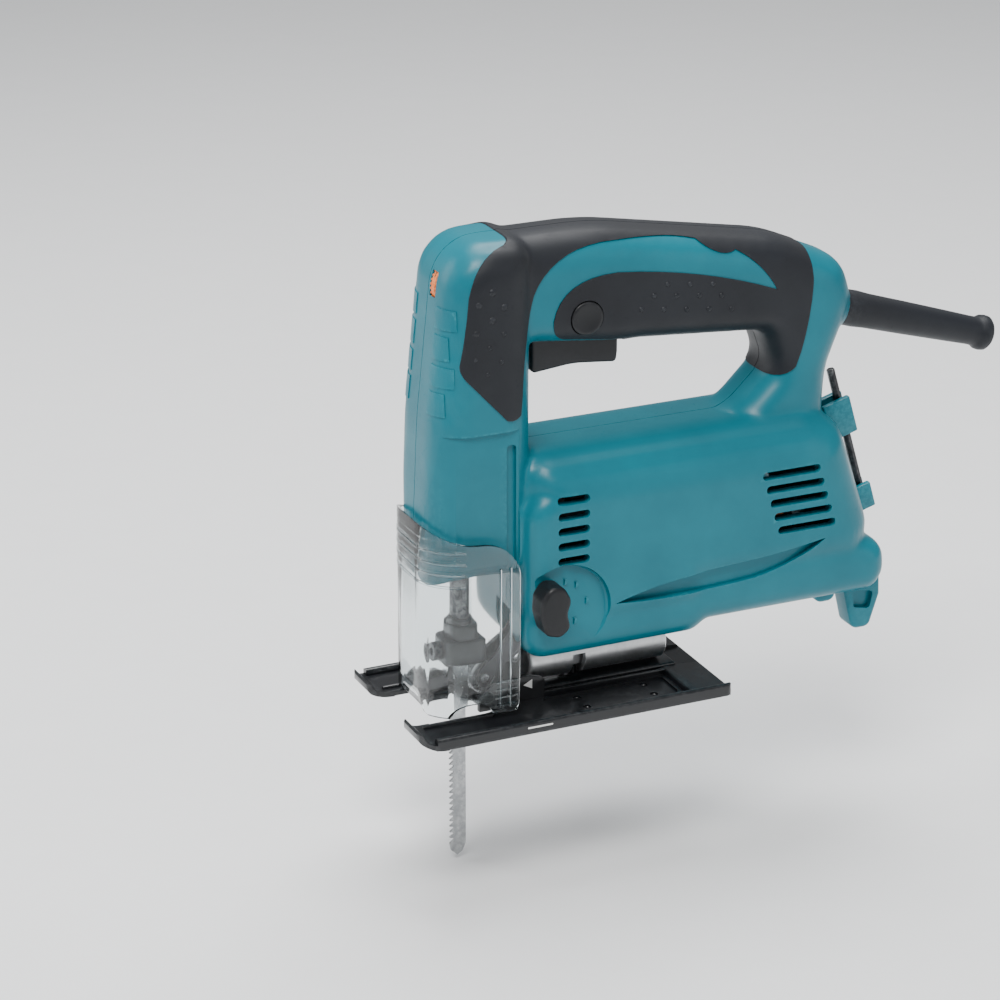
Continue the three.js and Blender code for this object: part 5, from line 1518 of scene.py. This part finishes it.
@dataclass
class Studio:
    """Pale floor, soft light and the camera."""

    azimuth: float = -24.42
    elevation: float = 21.43
    place: tuple[float, float, float] = (-543.46, -1158.03, 583.18)
    lens: float = 126.0
    floor: float = -68.5

    def light(self, name: str, place: Sequence[float], target: Sequence[float], size: float, power: float,
              colour: Colour) -> None:
        """Hang a square soft light that faces a target; places in metres."""
        lamp = bpy.data.lights.new(name, "AREA")
        lamp.shape = "SQUARE"
        lamp.size = size
        lamp.energy = power
        lamp.color = colour
        holder = bpy.data.objects.new(name, lamp)
        holder.location = place
        holder.rotation_euler = (Vector(target) - Vector(place)).to_track_quat("-Z", "Y").to_euler()
        bpy.context.scene.collection.objects.link(holder)

    def build(self, palette: Palette) -> None:
        """Set up the stage."""
        world = bpy.data.worlds.new("studio")
        world.use_nodes = True
        background = world.node_tree.nodes["Background"]
        background.inputs["Color"].default_value = (0.93, 0.95, 0.98, 1.0)
        background.inputs["Strength"].default_value = 0.3
        bpy.context.scene.world = world
        floor = Solid()
        bmesh.ops.create_grid(floor.mesh, x_segments=4, y_segments=4, size=2500.0,
                              matrix=Matrix.Translation((0, 0, self.floor)))
        ground = floor.to_object("floor")
        palette.dress(ground, Finish("pale_floor", "", (0.82, 0.83, 0.84), (0.8, 0.81, 0.82), (0.8, 0.8, 0.8),
                                     (0.6, 0.7), 300.0, 0.02, 0.0, 0.0))
        target = (0.05, 0.0, 0.09)
        self.light("key", (-0.5, -0.7, 1.5), target, 0.7, 32.0, (1.0, 0.99, 0.97))
        self.light("fill", (1.1, -1.2, 0.5), target, 1.1, 5.0, (0.96, 0.98, 1.0))
        self.light("top", (0.3, 0.4, 1.4), target, 0.9, 26.0, (1.0, 1.0, 1.0))
        self.light("rim", (-0.9, 0.6, 0.5), target, 0.8, 7.0, (1.0, 1.0, 1.0))
        camera = bpy.data.cameras.new("camera")
        camera.lens = self.lens
        camera.sensor_width = 36.0
        camera.clip_end = 20.0
        holder = bpy.data.objects.new("camera", camera)
        holder.location = TO_FRAME @ Vector(self.place)
        holder.rotation_euler = (math.radians(90 - self.elevation), 0, math.radians(self.azimuth))
        bpy.context.scene.collection.objects.link(holder)
        bpy.context.scene.camera = holder


def dress_inside(shop: Workshop) -> None:
    """Finish the CAD nodes that keep their own shape."""
    shop.keep(Palette.turned, 0.25, "armature_shaft", "front_bearing", "rear_bearing",
              "gear_pin", "crank_pin",
              "crank_roller", "orbital_cam_shaft", "roller_pin", "guide_roller")
    shop.keep(Palette.steel, 0.25, "armature_core", "stator_core", "slider_guide", "clamp_nut", "drive_gear")
    shop.keep(Palette.oxide, 0.2, "hex_key", "blade_clamp_screw", "base_bolt", "roller_holder", "slider_rod")
    shop.keep(Palette.copper, 0.3, "armature_windings", "commutator", "field_coil_top", "field_coil_bottom",
              "slider_bush_lower", "slider_bush_upper")
    shop.keep(Palette.cast, 0.4, "gear_housing")
    shop.keep(Palette.board, 0.15, "speed_board")
    shop.keep(Palette.black, 0.3, "switch_body", "capacitor", "cord_clamp", "cooling_fan",
              "brush_holder_left",
              "brush_holder_right", "carbon_brush_left", "carbon_brush_right")


def main() -> None:
    """Build the tool's looks in order."""
    logging.basicConfig(level=logging.INFO, format="%(name)s: %(message)s")
    palette = Palette()
    shop = Workshop(palette)
    form = HousingForm()
    skin = form.skin("skin")
    housing = Housing(form)
    seats = housing.screw_seats(skin)
    grips = Grips().build(skin, housing.screw_wells(seats))
    halves = housing.halves(skin, seats)
    shop.fit(halves[0], "housing", Palette.teal, "housing_left")
    shop.fit(halves[1], "housing", Palette.teal, "housing_right")
    shop.fit(housing.screws(seats), "housing", Palette.oxide, *(f"housing_screw_{n}" for n in range(1, 9)))
    shop.fit(grips[0], "housing", Palette.rubber, "grip_left")
    shop.fit(grips[1], "housing", Palette.rubber, "grip_right")
    shop.fit(CordGuard().build(), "housing", Palette.rubber, "cord_guard")
    controls = Controls()
    shop.fit(controls.trigger(), "trigger", Palette.black, "trigger")
    shop.fit(controls.button(), "lock_button", Palette.black, "lock_button")
    wheel, numbers = controls.dial()
    shop.fit(wheel, "speed_dial", Palette.orange, "speed_dial")
    shop.fit(numbers, "speed_dial", Palette.dark_ink)
    shop.fit(controls.lever(), "orbital_lever", Palette.black, "orbital_lever")
    shop.fit(controls.marks(), "housing", Palette.teal)
    shop.fit(DustCover().build(), "dust_cover", Palette.clear, "dust_cover")
    shoe, marks = Shoe().build()
    shop.fit(shoe, "base_plate", Palette.coated, "base_plate")
    shop.fit(marks, "base_plate", Palette.ink)
    shop.fit(TiltCylinder().build(), "housing", Palette.silver, "tilt_cylinder")
    cutting = Cutting()
    shop.fit(cutting.blade(), "slider", Palette.blade, "saw_blade")
    shop.fit(cutting.clamp(), "slider", Palette.coated, "blade_clamp")
    dress_inside(shop)
    Studio().build(palette)


if __name__ == "__main__":
    main()
